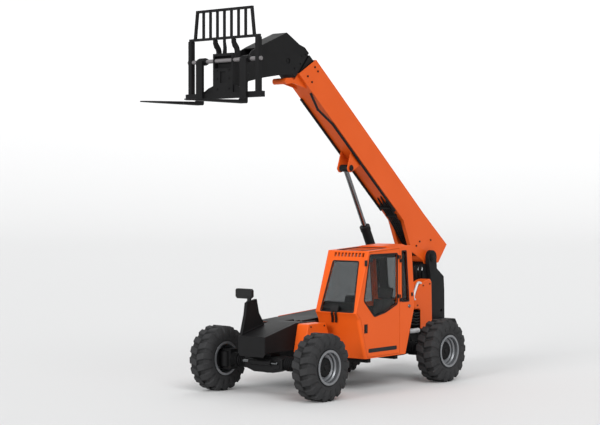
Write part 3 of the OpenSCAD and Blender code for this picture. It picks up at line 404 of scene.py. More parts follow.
# %% [markdown]
# ## Places
# A piece is placed from what carries it. The pins come from the record's joints, the middle of the
# wheelbase from the two axles, and a point on the boom is given by its distance along the boom and
# its height above the line through the pivot, which is how a boom's drawing gives it.

# %% Places on the machine
joints = {joint["name"]: joint for joint in record["behaviour"]["joints"]}
pin_at = {name: Vector(joint["pos_m"]) for name, joint in joints.items() if "pos_m" in joint}
axle_ends = [corner_point[1] for axle in ("front_axle", "rear_axle") for corner_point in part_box(axle)]
wheelbase_mid = sum(axle_ends) / 4
boom_along = Vector(joints["boom_extend"]["axis"])
boom_up = Vector((0, boom_along.z, -boom_along.y))
left, right = Vector((1, 0, 0)), Vector((-1, 0, 0))
ahead_way, backward = Vector((0, -1, 0)), Vector((0, 1, 0))
upward = Vector((0, 0, 1))


def at(x, y, z):
    """A point given from the ground under the middle of the wheelbase."""
    return Vector((x, y + wheelbase_mid, z))


def side_line(x, points):
    """Points of a side view, given as (Y, Z) pairs, at one X."""
    return [at(x, y, z) for y, z in points]


def on_boom(x, along, up):
    """A point given across, along and square to the boom, from its pivot."""
    return pin_at["boom_lift"] + Vector((x, 0, 0)) + along * boom_along + up * boom_up


def on_carriage(x, y, z):
    """A point given from the tilt pin, with the forks level."""
    return pin_at["fork_tilt"] + Vector((x, y, z))


print("middle of the wheelbase at Y =", round(wheelbase_mid, 4))

# %% [markdown]
# ## Ways to start a piece
# Every small part below starts as one primitive and is then shaped. A box is a cube moved to its
# corners. A plate is a filled circle with as many points as the outline has, dragged to the outline
# and extruded. A turned part is a ring of points, dragged to the part's cross-section and spun. A
# pressed box has one face inset and pushed in or out, as a pressing or a casting has.

# %% Box, plate and turned part
def block(name, low, high):
    """A box between two corners."""
    low, high = Vector(low), Vector(high)
    bpy.ops.object.select_all(action="DESELECT")
    bpy.ops.mesh.primitive_cube_add(size=1, location=(low + high) / 2)
    piece = bpy.context.active_object
    piece.name = name
    piece.scale = high - low
    bpy.ops.object.transform_apply(location=True, rotation=True, scale=True)
    return piece


def outline(name, points, fill="NGON"):
    """A closed outline through points, filled or open, left in edit mode with all of it selected."""
    bpy.ops.object.select_all(action="DESELECT")
    bpy.ops.mesh.primitive_circle_add(vertices=len(points), radius=1, fill_type=fill)
    piece = bpy.context.active_object
    piece.name = name
    for vertex, point in zip(piece.data.vertices, points):
        vertex.co = point
    bpy.ops.object.mode_set(mode="EDIT")
    bpy.ops.mesh.select_all(action="SELECT")
    return piece


def close_up():
    """Merges doubles, turns the faces outwards and leaves edit mode."""
    bpy.ops.mesh.select_all(action="SELECT")
    bpy.ops.mesh.remove_doubles(threshold=0.00002)
    bpy.ops.mesh.normals_make_consistent(inside=False)
    bpy.ops.object.mode_set(mode="OBJECT")


def plate(name, points, thickness, round_by=0.0):
    """A flat plate with an outline, its corners rounded if asked, extruded by a vector."""
    piece = outline(name, points)
    if round_by:
        bpy.ops.mesh.bevel(affect="VERTICES", offset=round_by, segments=4)
        bpy.ops.mesh.select_all(action="SELECT")
    bpy.ops.mesh.extrude_region_move(TRANSFORM_OT_translate={"value": Vector(thickness)})
    close_up()
    return piece


def turned(name, profile, centre, axis, body, slot, steps=48, finish=None):
    """A part turned about an axis from a closed profile of (radius, distance along it), handed over."""
    axis = Vector(axis).normalized()
    side = axis.orthogonal().normalized()
    piece = outline(name, [Vector(centre) + r * side + a * axis for r, a in profile], "NOTHING")
    bpy.ops.mesh.spin(steps=steps, angle=2 * math.pi, center=centre, axis=axis)
    close_up()
    bpy.ops.object.shade_smooth_by_angle(angle=math.radians(35))
    return hand_over(piece, body, slot, finish)


def formed_plate(name, points, thickness, edge, body="chassis", slot="control_plastic", segments=2):
    """A plate with rounded edges, handed over."""
    return hand_over(soften(plate(name, points, thickness), edge, segments), body, slot)


def face_pushed(piece, direction, rim, depth):
    """Insets the face that looks in a direction and pushes its middle by a depth."""
    direction = Vector(direction)
    pick(piece)
    bpy.ops.object.mode_set(mode="EDIT")
    bpy.ops.mesh.select_mode(type="FACE")
    bpy.ops.mesh.select_all(action="DESELECT")
    bpy.ops.object.mode_set(mode="OBJECT")
    for face in piece.data.polygons:
        face.select = face.normal.dot(direction) > 0.99
    bpy.ops.object.mode_set(mode="EDIT")
    bpy.ops.mesh.inset(thickness=rim)
    bpy.ops.mesh.extrude_region_move(TRANSFORM_OT_translate={"value": depth * direction})
    bpy.ops.object.mode_set(mode="OBJECT")
    return piece


def pressed_box(
    name, low, high, way, rim, depth, edge, body="chassis", slot="control_plastic", segments=2, finish=None,
):
    """A box with one face inset by a rim and pushed by a depth, its edges rounded, handed over."""
    piece = face_pushed(block(name, low, high), way, rim, depth)
    return hand_over(soften(piece, edge, segments), body, slot, finish)


# %% [markdown]
# A bolt head is modelled once: a short cylinder for its washer, whose top is inset and raised for
# the head. Copies of it, each with its own mesh, are turned to the surface they sit on, and a group
# of them on one body is joined into one piece.

# %% Bolt and copies
bpy.ops.object.select_all(action="DESELECT")
bpy.ops.mesh.primitive_cylinder_add(vertices=12, radius=1.0, depth=0.3, location=(0, 0, 0.1))
bolt_pattern = bpy.context.active_object
bolt_pattern.name = "bolt_pattern"
bpy.ops.object.transform_apply(location=True)
for face in bolt_pattern.data.polygons:
    face.select = face.normal.z > 0.9
bpy.ops.object.mode_set(mode="EDIT")
bpy.ops.mesh.inset(thickness=0.28)
bpy.ops.mesh.extrude_region_move(TRANSFORM_OT_translate={"value": (0, 0, 0.5)})
bpy.ops.mesh.inset(thickness=0.14)
bpy.ops.transform.translate(value=(0, 0, 0.08))
bpy.ops.object.mode_set(mode="OBJECT")
bpy.ops.object.shade_smooth_by_angle(angle=math.radians(35))


def bolts(name, places, body, slot="black_paint"):
    """Copies of the bolt at (point, direction, size), joined and handed over."""
    made = []
    for point, direction, size in places:
        pick(bolt_pattern)
        bpy.ops.object.duplicate()
        piece = bpy.context.active_object
        piece.location = point
        piece.rotation_mode = "QUATERNION"
        piece.rotation_quaternion = Vector((0, 0, 1)).rotation_difference(Vector(direction))
        piece.scale = (size, size, size)
        made.append(piece)
    pick(made[0])
    for piece in made:
        piece.select_set(True)
    bpy.ops.object.join()
    made[0].name = name
    return hand_over(made[0], body, slot)


print("bolt:", len(bolt_pattern.data.polygons), "faces")

# %% [markdown]
# ## Wheels
# The tyres' lugs are in the solids. What is added is what the mould leaves on the sidewall, two
# raised rings, and what bolts on: a black planetary hub cover with its ring of screws, and the
# wheel nuts. Rings and covers are round, so they are turned; the nuts are copies of the bolt.

# %% Tyre rings, hub covers and nuts
sidewall_rings = [
    [(0.336, 0.178), (0.339, 0.1875), (0.350, 0.1915), (0.354, 0.184)],
    [(0.292, 0.160), (0.295, 0.1705), (0.303, 0.1735), (0.307, 0.166)],
]
hub_cover = [
    (0.0, 0.0975), (0.0, 0.119), (0.040, 0.119), (0.048, 0.112), (0.051, 0.103), (0.112, 0.103),
    (0.118, 0.100), (0.1365, 0.0985), (0.153, 0.083), (0.153, 0.046), (0.1508, 0.046), (0.1508, 0.082),
    (0.136, 0.0972),
]
# Rings of fasteners: name, radius of the circle, distance out from the wheel's middle, size and slot
fastener_rings = (
    ("_wheel_nuts", 0.168, 0.043, 0.013, "wheel_silver"),
    ("_hub_screws", 0.092, 0.1025, 0.007, "black_paint"),
)
spokes = [Vector((0, math.cos(a), math.sin(a))) for a in (math.tau * i / 10 for i in range(10))]
for corner in corners:
    outward = left if corner.endswith("left") else right
    centre = pin_at[corner + "_roll"]
    wheel = corner + "_wheel"
    for number, ring in enumerate(sidewall_rings):
        turned(corner + "_sidewall_rib_" + str(number), ring, centre, outward, wheel, "tyre_rubber", 72)
    turned(corner + "_hub_cover", hub_cover, centre, outward, wheel, "black_paint")
    for name, circle, out, size, slot in fastener_rings:
        places = [(centre + circle * spoke + out * outward, outward, size) for spoke in spokes]
        bolts(corner + name, places, wheel, slot)
print("wheels:", len(corners), "dressed")

# %% [markdown]
# ## Window seals
# Every pane sits in a black rubber seal that laps over the edge of its opening. A seal is a flat
# outline a little larger than the opening, with its corners rounded, inset by the seal's width, its
# middle taken out, and the ring that is left given thickness.

# %% Seals
def grown(points, distance):
    """A flat outline of (across, up) points, listed anticlockwise, moved outwards."""
    moved = []
    for i, (x, y) in enumerate(points):
        before, after = Vector(points[i - 1]), Vector(points[(i + 1) % len(points)])
        here = Vector((x, y))
        d_in, d_out = (here - before).normalized(), (after - here).normalized()
        n_in, n_out = Vector((d_in.y, -d_in.x)), Vector((d_out.y, -d_out.x))
        middle = (n_in + n_out) / (1 + n_in.dot(n_out))
        moved.append(tuple(here + distance * middle))
    return moved


def seal(name, points, place, body, width=0.026, lap=0.010, round_by=0.035, thick=0.008):
    """A rubber ring over the edge of a window opening; place turns (across, up) to a point."""
    piece = outline(name, [place(*p) for p in grown(points, lap)])
    bpy.ops.mesh.bevel(affect="VERTICES", offset=round_by, segments=4)
    bpy.ops.mesh.select_all(action="SELECT")
    bpy.ops.mesh.inset(thickness=width)
    bpy.ops.mesh.delete(type="FACE")
    bpy.ops.object.mode_set(mode="OBJECT")
    apply_modifier(piece, "SOLIDIFY", thickness=thick, offset=0.0)
    soften(piece, 0.002)
    return hand_over(piece, body, "hose_rubber")


cab_left_x = 1.080
front_top, front_foot = Vector((-0.400, 2.310)), Vector((-0.740, 1.310))
rear_foot, rear_top = Vector((0.880, 1.360)), Vector((0.790, 2.373))


def slope(start, end):
    """For a sloping face of the cab: a function that places a point on it, and its outward direction."""
    run = (end - start).normalized()
    square = Vector((run.y, -run.x))

    def place(x, along, out=0.0):
        """A point across, along the face from its start, and out of it."""
        y, z = start + along * run + out * square
        return at(x, y, z)

    return place, at(0, *square) - at(0, 0, 0)


on_front, front_square = slope(front_top, front_foot)
on_rear, rear_square = slope(rear_foot, rear_top)
on_roof, roof_square = slope(rear_top, front_top)
windscreen = [(0.387, 0.1743), (0.334, 1.0404), (1.026, 1.0404), (0.925, 0.1743)]
windscreen_up = [(x, -down) for x, down in windscreen]
door_window = [
    (-0.526, 1.505), (-0.247, 1.235), (0.068, 1.294), (0.390, 1.414), (0.389, 2.252), (-0.367, 2.250),
]
quarter_window = [(0.526, 1.440), (0.719, 1.440), (0.637, 2.290), (0.513, 2.290)]
rear_window = [(0.330, 0.1017), (0.990, 0.1017), (0.990, 0.9356), (0.330, 0.9356)]
skylight = [(0.360, 0.541), (0.960, 0.541), (0.960, 1.121), (0.360, 1.121)]
seal("windscreen_seal", windscreen_up, lambda x, up: on_front(x, -up, 0.001), "chassis", 0.024, 0.006)
seal("door_window_seal", door_window, lambda y, z: at(cab_left_x + 0.001, y, z), "cab_door")
seal(
    "quarter_window_seal", quarter_window, lambda y, z: at(cab_left_x + 0.001, y, z), "chassis",
    0.022, 0.008, 0.02,
)
seal("rear_window_seal", rear_window, lambda x, up: on_rear(x, up, 0.001), "chassis")
seal("skylight_seal", skylight, lambda x, ahead: on_roof(x, ahead, 0.001), "chassis", 0.02, 0.008)

# The door closes on a rubber lip in the gap round it, which draws a dark line round the door
frame_in = 0.020
door_line = [
    (-0.449, 0.560), (0.475, 0.560), (0.475, 2.3563), (-0.400, 2.310), (-0.740, 1.310), (-0.629, 1.204),
]
doorway = grown(door_line, -frame_in)
seal(
    "door_lip", doorway, lambda y, z: at(cab_left_x - 0.021, y, z), "cab_door",
    width=0.0046, lap=-0.0022, round_by=0.006, thick=0.026,
)
print("seals: 6")

# %% [markdown]
# ## Cab hardware
# The door hangs on two black hinges and is opened by a paddle handle in a pocket. A hinge has a leaf
# on each side of the gap and a round knuckle on each leaf. A leaf is a box whose outer face is inset
# and pushed, as a pressing has it, and a knuckle is turned about the hinge's line.

# %% Hinges and handle
door_rear_y, leaf_thick, knuckle_out = 0.455, 0.0122, 0.011
knuckle_profile = [
    (0.0, 0.0), (0.0, 0.0575), (0.009, 0.0575), (0.0118, 0.0545), (0.0118, 0.003), (0.009, 0.0),
]
for number, hinge_z in enumerate((1.445, 2.100)):
    for name, body, low_y, high_y, low_z in (
        ("cab_hinge", "chassis", 0.019, 0.056, 0.0), ("door_hinge", "cab_door", -0.064, -0.019, 0.0625),
    ):
        z = hinge_z + low_z
        pressed_box(
            name + "_leaf_" + str(number), at(cab_left_x, door_rear_y + low_y, z - 0.002),
            at(cab_left_x + leaf_thick, door_rear_y + high_y, z + 0.0605), left, 0.008, 0.002, 0.002,
            body, "black_paint",
        )
        turned(
            name + "_knuckle_" + str(number), knuckle_profile,
            at(cab_left_x + knuckle_out, door_rear_y, z), upward, body, "black_paint", 24,
        )
pressed_box(
    "door_handle_bezel", at(1.0665, -0.514, 0.981), at(1.0815, -0.428, 1.121), left, 0.014, -0.010,
    0.005, "cab_door", segments=3,
)
pressed_box(
    "door_handle_paddle", at(1.070, -0.492, 1.008), at(1.086, -0.450, 1.094), left, 0.006, 0.004,
    0.005, "cab_door", segments=3,
)
strip = plate(
    "door_foot_strip",
    side_line(cab_left_x - 0.001, ((-0.405, 0.654), (0.372, 0.654), (0.372, 0.720), (-0.405, 0.720))),
    (0.004, 0, 0), 0.020,
)
hand_over(soften(strip, 0.0012), "cab_door", "control_plastic")
print("door: hinges, handle and a plain strip at its foot")

# %% [markdown]
# Under the windscreen a wiper's motor stands on two black arms. On the side there are a marker on the
# corner post, a chromed stop for the open door and a black catch. The arms are bent strips, so they
# are outlines extruded sideways; the others are plates, pressed boxes and one turned knob.

# %% Wiper, stop and catch
wiper_line = [(-0.722, 1.352), (-0.738, 1.306), (-0.690, 1.222), (-0.668, 1.148)]
for number, x in enumerate((0.575, 0.650)):
    lean = [0.022 - 0.022 * i for i in range(4)]
    inner = [at(x + lean[i], y - 0.004, z) for i, (y, z) in enumerate(wiper_line)]
    outer = [at(x + lean[i], y - 0.034 + 0.004 * i, z - 0.004) for i, (y, z) in enumerate(wiper_line)]
    formed_plate("wiper_arm_" + str(number), inner + outer[::-1], (0.036, 0, 0), 0.005)
motor = plate(
    "wiper_motor",
    [on_front(x, d, -0.002) for x, d in ((0.570, 0.925), (0.570, 1.040), (0.720, 1.040), (0.720, 0.940))],
    0.044 * front_square,
)
face_pushed(motor, front_square, 0.016, 0.006)
hand_over(soften(motor, 0.008, 3), "chassis", "control_plastic")
formed_plate(
    "wiper_blade",
    [on_front(x, down, 0.012) for x, down in (
        (0.640, 0.965), (0.640, 0.995), (0.480, 0.990), (0.372, 0.955), (0.372, 0.940), (0.480, 0.970),
    )],
    0.016 * front_square, 0.003,
)
pressed_box(
    "corner_marker", at(1.066, -0.492, 2.070), at(1.098, -0.452, 2.165), left, 0.008, 0.004, 0.008,
    segments=3,
)
turned(
    "door_stop_knob",
    [(0.0, 0.0), (0.0, 0.026), (0.012, 0.026), (0.022, 0.020), (0.026, 0.010), (0.030, 0.006), (0.030, 0.0)],
    at(cab_left_x, 0.722, 1.357), left, "chassis", "bright_steel", 32,
)
pressed_box(
    "door_catch", at(1.060, 0.780, 1.520), at(1.094, 0.822, 1.580), left, 0.008, 0.006, 0.004,
)
print("cab: wiper, marker, stop and catch")

# %% [markdown]
# ## Inside the cab
# The seat's cushion and backrest are foam under vinyl: crowned, pulled in at the sides and sewn in
# channels. Cloth would do it, but a seat this size is stiff, so a rounded, subdivided box is crowned
# by moving its points, and each seam is pressed in as a shallow groove.

# %% Seat
def pad(name, size, crown, seams, turn, place):
    """A stuffed pad of a size, crowned on its top, with seams across it, turned and placed."""
    half = Vector(size) / 2
    piece = block(name, -half, half)
    apply_modifier(
        piece, "BEVEL", width=0.3 * min(size), segments=3, limit_method="ANGLE",
        angle_limit=math.radians(32), use_clamp_overlap=True,
    )
    bpy.ops.object.mode_set(mode="EDIT")
    bpy.ops.mesh.select_all(action="SELECT")
    bpy.ops.mesh.subdivide(number_cuts=3)
    bpy.ops.object.mode_set(mode="OBJECT")
    apply_modifier(piece, "SUBSURF", levels=2, render_levels=2)
    for vertex in piece.data.vertices:
        a, b = vertex.co.x / half.x, vertex.co.y / half.y
        vertex.co.x *= 1 - 0.05 * (1 - b * b)
        if vertex.co.z > 0:
            vertex.co.z += crown * (1 - a * a) * (1 - b * b)
            for seam in seams:
                vertex.co.z -= 0.010 * math.exp(-(((vertex.co.x - seam) / 0.012) ** 2))
    bpy.ops.object.shade_smooth()
    piece.matrix_world = Matrix.Translation(place) @ Matrix.Rotation(turn, 4, "X")
    hand_over(piece, "chassis", "seat_vinyl")
    return piece


seat_x, deck_z, back_lean = 0.680, 0.600, math.radians(79)
cushion = pad(
    "seat_cushion", (0.47, 0.46, 0.11), 0.022, (-0.11, 0.0, 0.11), 0.0, at(seat_x, 0.265, deck_z + 0.292),
)
backrest = pad(
    "seat_backrest", (0.44, 0.50, 0.085), 0.020, (-0.10, 0.0, 0.10), back_lean,
    at(seat_x, 0.532, deck_z + 0.610),
)
headrest = pad(
    "seat_headrest", (0.28, 0.20, 0.080), 0.014, (), back_lean, at(seat_x, 0.600, deck_z + 0.960),
)
pedestal = block("seat_pedestal", at(seat_x - 0.17, 0.09, deck_z), at(seat_x + 0.17, 0.43, deck_z + 0.235))
for side in (left, right, ahead_way):
    face_pushed(pedestal, side, 0.03, -0.02)
hand_over(soften(pedestal, 0.008), "chassis", "control_plastic")
for seat_piece in (cushion, backrest, headrest, pedestal):
    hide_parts("seat")
print("seat: 3 pads on a pedestal")

# %% [markdown]
# The cab is lined with black moulded panels, which is why it looks dark from outside: under the roof,
# above the door, behind the seat and on the right wall. An air duct climbs the rear wall, and a dash
# stands under the windscreen. Each is an outline a few millimetres off the wall, extruded and rounded.

# %% Linings and dash
in_left, in_right, wall_in, lining_edge = 1.036, 0.284, -0.044, 0.004
formed_plate(
    "rear_air_duct",
    [on_rear(x, up, wall_in) for x, up in ((0.440, 0.02), (0.600, 0.02), (0.585, 0.96), (0.455, 0.96))],
    -0.050 * rear_square, 0.012,
)
formed_plate(
    "rear_wall_lining",
    [at(x, y, z) for x, y, z in (
        (in_right, 0.600, 0.640), (in_left, 0.600, 0.640), (in_left, 0.832, 1.400), (in_right, 0.832, 1.400),
    )],
    (0, -0.012, 0.004), lining_edge,
)
formed_plate(
    "right_wall_lining", side_line(in_right, ((-0.42, 0.64), (0.58, 0.64), (0.80, 1.32), (-0.60, 1.32))),
    (0.010, 0, 0), lining_edge,
)
formed_plate(
    "door_header_lining", side_line(0.965, ((-0.30, 2.170), (0.60, 2.185), (0.60, 2.290), (-0.32, 2.245))),
    (0.016, 0, 0), lining_edge,
)
for name, start, end in (("rear", 0.06, 0.53), ("front", 1.135, 1.165)):
    lining_line = ((in_right, start), (in_left, start), (in_left, end), (in_right, end))
    formed_plate(
        "headlining_" + name, [on_roof(x, ahead, wall_in) for x, ahead in lining_line],
        -0.012 * roof_square, lining_edge,
    )
formed_plate(
    "dash",
    side_line(0.300, ((-0.655, 1.320), (-0.610, 1.470), (-0.520, 1.480), (-0.450, 1.300), (-0.560, 1.210))),
    (0.720, 0, 0), 0.014, segments=3,
)
formed_plate(
    "instrument_pod",
    side_line(0.720, ((-0.595, 1.460), (-0.560, 1.575), (-0.500, 1.590), (-0.470, 1.440))),
    (0.210, 0, 0), 0.012, segments=3,
)
print("cab: 6 linings, a dash and its pod")

# %% [markdown]
# A black fan box hangs at the top of the front post. The mirror's housing on the nose is a moulded
# shell with round corners, its glass faces the driver, and a bent plate holds it up.

# %% Fan box, mirror and its pedestal
pressed_box(
    "cab_fan_box", at(0.900, -0.352, 2.130), at(1.032, -0.222, 2.262), backward, 0.018, -0.012, 0.010,
    segments=3,
)

# Silvered glass: a smooth mirror
silvering, silver_shader = new_finish("silvered_mirror_glass")
set_shader(silver_shader, Base_Color=linear("#D8DADC"), Metallic=1.0, Roughness=0.03)
pressed_box(
    "mirror_glass", at(-0.520, -1.774, 1.580), at(-0.230, -1.766, 1.686), backward, 0.006, 0.002, 0.003,
    "chassis", "bright_steel", finish=silvering,
)
shell = plate(
    "mirror_shell",
    [at(-0.375 + x, -1.829, 1.632 + z) for x, z in (
        (-0.140, -0.080), (0.130, -0.080), (0.174, -0.045), (0.174, 0.055), (0.145, 0.080), (-0.150, 0.080),
        (-0.174, 0.058), (-0.174, -0.050),
    )],
    (0, 0.058, 0),
)
face_pushed(shell, backward, 0.016, -0.006)
hand_over(soften(shell, 0.014, 4, 24), "chassis", "control_plastic")
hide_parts("front_mirror")
turned(
    "mirror_stem", [(0.0, 0.0), (0.0, 0.100), (0.028, 0.100), (0.034, 0.086), (0.034, 0.024), (0.050, 0.0)],
    at(-0.275, -1.800, 1.500), upward, "chassis", "black_paint", 24,
)
nose_fall = (1.158 - 0.978) / (2.050 - 1.286)
pedestal_line = [
    (-2.030, 0.983), (-1.480, 0.983 + 0.550 * nose_fall), (-1.514, 1.181), (-1.609, 1.318), (-1.665, 1.545),
    (-1.865, 1.512), (-1.907, 1.490), (-1.934, 1.307),
]
post = plate("mirror_pedestal", side_line(-0.2845, pedestal_line), (0.059, 0, 0))
face_pushed(post, left, 0.022, -0.012)
hand_over(soften(post, 0.007, 3), "chassis", "black_paint")
print("fan box and mirror")

# %% [markdown]
# ## Hood
# The hood's flat top carries a black anti-glare panel, so that only its outer edge shows orange from
# the driver's side. It lies on the slope of the hood, which falls towards the front, so its outline
# is given along that slope and raised square to it.

# %% Hood panel
hood_way = Vector(joints["hood_lift"]["axis"])
hood_rear = at(0, 0.940, 1.190)


def on_hood(x, ahead, out=0.0):
    """A point on the hood's top, from its rear end forwards."""
    square = Vector((0, -hood_way.z, hood_way.y))
    return hood_rear + Vector((x, 0, 0)) - ahead * hood_way + out * square


formed_plate(
    "hood_panel",
    [on_hood(x, a, 0.0003) for x, a in ((-0.312, 0.01), (-0.312, 1.71), (-1.050, 1.71), (-1.050, 0.01))],
    on_hood(0, 0, 0.004) - on_hood(0, 0, 0), 0.0015, "hood", "black_paint",
)
hood_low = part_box("engine_hood")[0]
pressed_box(
    "hood_front_panel", (-1.128, hood_low[1] - 0.004, hood_low[2] + 0.02),
    (-0.312, hood_low[1] + 0.002, on_hood(0, 1.716).z), ahead_way, 0.03, 0.003, 0.0015,
    "hood", "black_paint",
)

# The hood's two hinges: a black sleeve round each knuckle and a black cover on its leaf
hinge_line, hinge_up, knuckle_len = -0.304, 0.014, 0.080
for number, ahead in enumerate((0.038, 1.441)):
    turned(
        "hood_hinge_sleeve_" + str(number),
        [(0.0088, 0.001), (0.0102, 0.001), (0.0102, 0.079), (0.0088, 0.079)],
        on_hood(hinge_line, ahead, hinge_up), -hood_way, "hood", "black_paint", 24,
    )
    formed_plate(
        "hood_hinge_cover_" + str(number),
        [on_hood(x, ahead + 0.0005, out) for x, out in (
            (-0.3655, 0.0002), (-0.3655, 0.0085), (-0.3625, 0.0112), (-0.311, 0.0112), (-0.311, 0.0002),
        )],
        -(knuckle_len - 0.001) * hood_way, 0.001, "hood", "black_paint",
    )
print("hood: 2 panels and its hinges")

# %% [markdown]
# ## Boom
# The boom's sections slide on pads, and each pad is held by bolts through the side plates. The pins
# have flanged heads, and the lift rod's eye has a sleeve. Heads and sleeve are round, so they are
# turned about the pin they belong to.

# %% Pins and bolts of the boom
side_bolts = [
    (4.59, 0.17), (4.45, 0.17), (4.45, 0.41), (4.55, 0.41), (0.408, -0.059), (0.377, 0.065), (0.125, 0.298),
]
bolts(
    "boom_side_bolts",
    [(on_boom(0.17 * way.x, u, n), way, 0.016) for way in (left, right) for u, n in side_bolts],
    "boom",
)
lift_eye = (2.70, -0.192)
pin_head = [
    (0.0, 0.0), (0.0, 0.016), (0.030, 0.016), (0.034, 0.012), (0.050, 0.010), (0.054, 0.006), (0.054, 0.0),
]
for way, side_name in ((left, "left"), (right, "right")):
    for name, centre, body in (
        ("lift_pin_head_", on_boom(0.131 * way.x, *lift_eye), "boom"),
        ("pivot_pin_face_", pin_at["boom_lift"] + 0.2985 * way, "chassis"),
        ("tilt_pin_head_", on_carriage(0.222 * way.x, 0, 0), "fork_carriage"),
    ):
        turned(name + side_name, pin_head, centre, way, body, "black_paint", 32)
eye_sleeve = [
    (0.0582, -0.078), (0.0600, -0.078), (0.0615, -0.075), (0.0615, 0.075), (0.0600, 0.078), (0.0582, 0.078),
]
turned("rod_eye_sleeve", eye_sleeve, on_boom(0, *lift_eye), left, "lift_piston", "black_paint", 40)
print("boom: bolts, 6 pin heads and the rod's eye")

# %% [markdown]
# Under the boom run five hydraulic hoses: they leave the pivot, pass through the open gusset, lie
# clipped along the underside and turn up into the boom. A loose hose would be simulated, but a clipped
# one is a rigid line, so it is a curve with a round section, made a mesh.

# %% Hoses
def hose(name, points, radius, body="chassis", slot="hose_rubber", finish=None):
    """A round line through five or more points, smooth, as a closed mesh."""
    bpy.ops.object.select_all(action="DESELECT")
    bpy.ops.curve.primitive_nurbs_path_add()
    line = bpy.context.active_object
    line.name = name
    spline = line.data.splines[0]
    if len(points) > len(spline.points):
        spline.points.add(len(points) - len(spline.points))
    for knot, point in zip(spline.points, points):
        knot.co = (*point, 1.0)
    spline.order_u = 3
    spline.use_endpoint_u = True
    spline.resolution_u = 8
    line.data.bevel_depth = radius
    line.data.bevel_resolution = 3
    line.data.use_fill_caps = True
    bpy.ops.object.convert(target="MESH")
    piece = bpy.context.active_object
    bpy.ops.object.mode_set(mode="EDIT")
    close_up()
    bpy.ops.object.shade_smooth_by_angle(angle=math.radians(50))
    return hand_over(piece, body, slot, finish)


under_line = [(0.08, -0.03), (0.26, -0.075), (0.55, -0.055), (0.85, -0.01), (1.10, 0.024)]
hose_ends = ((-0.088, 1.45), (-0.044, 1.62), (0.0, 1.50), (0.044, 1.66), (0.088, 1.54))
for number, (x, end) in enumerate(hose_ends):
    points = [on_boom(x, u, n) for u, n in under_line]
    points += [on_boom(x, u, 0.032) for u in (1.25, end - 0.16, end - 0.04)]
    points.append(on_boom(x, end, 0.060))
    hose("boom_under_hose_" + str(number), points, 0.015, "boom")
clip_pattern = block("hose_clip_pattern", (-0.110, -0.02, -0.041), (0.110, 0.02, 0.0))
face_pushed(clip_pattern, -upward, 0.006, 0.004)
soften(clip_pattern, 0.003)
boom_lean = -math.atan2(boom_along.z, -boom_along.y)
clip_places = (1.16, 1.38)
for number, u in enumerate(clip_places):
    pick(clip_pattern)
    bpy.ops.object.duplicate()
    clip = bpy.context.active_object
    clip.name = "boom_hose_clip_" + str(number)
    clip.matrix_world = Matrix.Translation(on_boom(0, u, 0.050)) @ Matrix.Rotation(boom_lean, 4, "X")
    hand_over(clip, "boom", "black_paint")
bpy.data.objects.remove(clip_pattern)
print("boom:", len(hose_ends), "hoses and", len(clip_places), "clips")

# %% [markdown]
# The hood's outer edge is rolled, and its paint shows as a thin bright line beside the black panel. A
# round line along the edge gives that roll and leaves the hood's own shape alone.

# %% Bead on the hood's edge
hose(
    "hood_edge_bead", [on_hood(-1.056, a, 0.006) for a in (0.03, 0.30, 0.60, 0.90, 1.10)], 0.007, "hood",
    "orange_paint",
)
print("hood: edge bead")

# %% [markdown]
# ## Head and carriage
# The head is bolted to the third section, and the carriage's plate carries the bolts of its bracket.
# A cover closes it above, webs brace it to the lower bar, and on the fork shaft collars keep each fork
# in its place. Plates are outlines cut and rounded, as they are torched from sheet; collars are turned.

# %% Bolts and collars
head_bolts = [(4.880, 0.345), (4.830, 0.225), (4.830, 0.430), (4.890, 0.060)]
bolts(
    "head_side_bolts",
    [(on_boom(0.15 * way.x, u, n), way, 0.015) for way in (left, right) for u, n in head_bolts],
    "boom_third",
)
plate_front = -0.325
bolts(
    "carriage_plate_bolts",
    [
        (on_carriage(x, plate_front, z), ahead_way, 0.016)
        for x in (-0.125, 0.125) for z in (-0.22, -0.06, 0.07)
    ],
    "fork_carriage",
)
pressed_box(
    "carriage_cover", on_carriage(-0.172, -0.2505, 0.080), on_carriage(0.172, -0.238, 0.296), ahead_way,
    0.03, -0.004, 0.003, "fork_carriage", "black_paint",
)
pressed_box(
    "carriage_window_backing", on_carriage(-0.066, -0.306, -0.142), on_carriage(0.066, -0.300, 0.062),
    ahead_way, 0.016, -0.002, 0.0015, "fork_carriage", "black_paint",
)
web_line = ((0.180, -0.281), (0.470, -0.281), (0.330, -0.200), (0.180, -0.150))
for side, name in ((1, "left"), (-1, "right")):
    formed_plate(
        "carriage_web_" + name, [on_carriage(side * x, -0.300, z) for x, z in web_line], (0, 0.022, 0),
        0.003, "fork_carriage", "black_paint",
    )
ear_line = [
    (-0.324, 0.549), (-0.324, 0.490), (-0.297, 0.428), (-0.262, 0.396), (-0.250, 0.360), (-0.250, 0.280),
    (-0.150, 0.280), (-0.152, 0.370), (-0.172, 0.430), (-0.210, 0.475), (-0.240, 0.510), (-0.240, 0.549),
]
for x, name in ((0.176, "left"), (-0.210, "right")):
    formed_plate(
        "carriage_ear_" + name, [on_carriage(x, y, z) for y, z in ear_line], (0.034, 0, 0), 0.004,
        "fork_carriage", "black_paint",
    )
collar = [(0.0325, 0.0), (0.046, 0.0), (0.050, 0.004), (0.050, 0.022), (0.046, 0.026), (0.0325, 0.026)]
for number, x in enumerate((-0.555, -0.391, 0.365, 0.529)):
    turned(
        "shaft_collar_" + str(number), collar, on_carriage(x, -0.285, 0.220), left, "fork_carriage",
        "black_paint", 32,
    )
print("carriage: covers, webs, bolts and 4 collars")

# %% [markdown]
# ## Frame
# Behind the cab the machine is open to view: hoses rise from the valves into the rear panel, others
# climb from the tower's cross plate to the pivot beside a guard plate, a bright filter stands out of
# the tank, and a polished rail follows the panel's front edge. All lines are fixed at both ends, so
# they are rigid curves like the hoses under the boom.

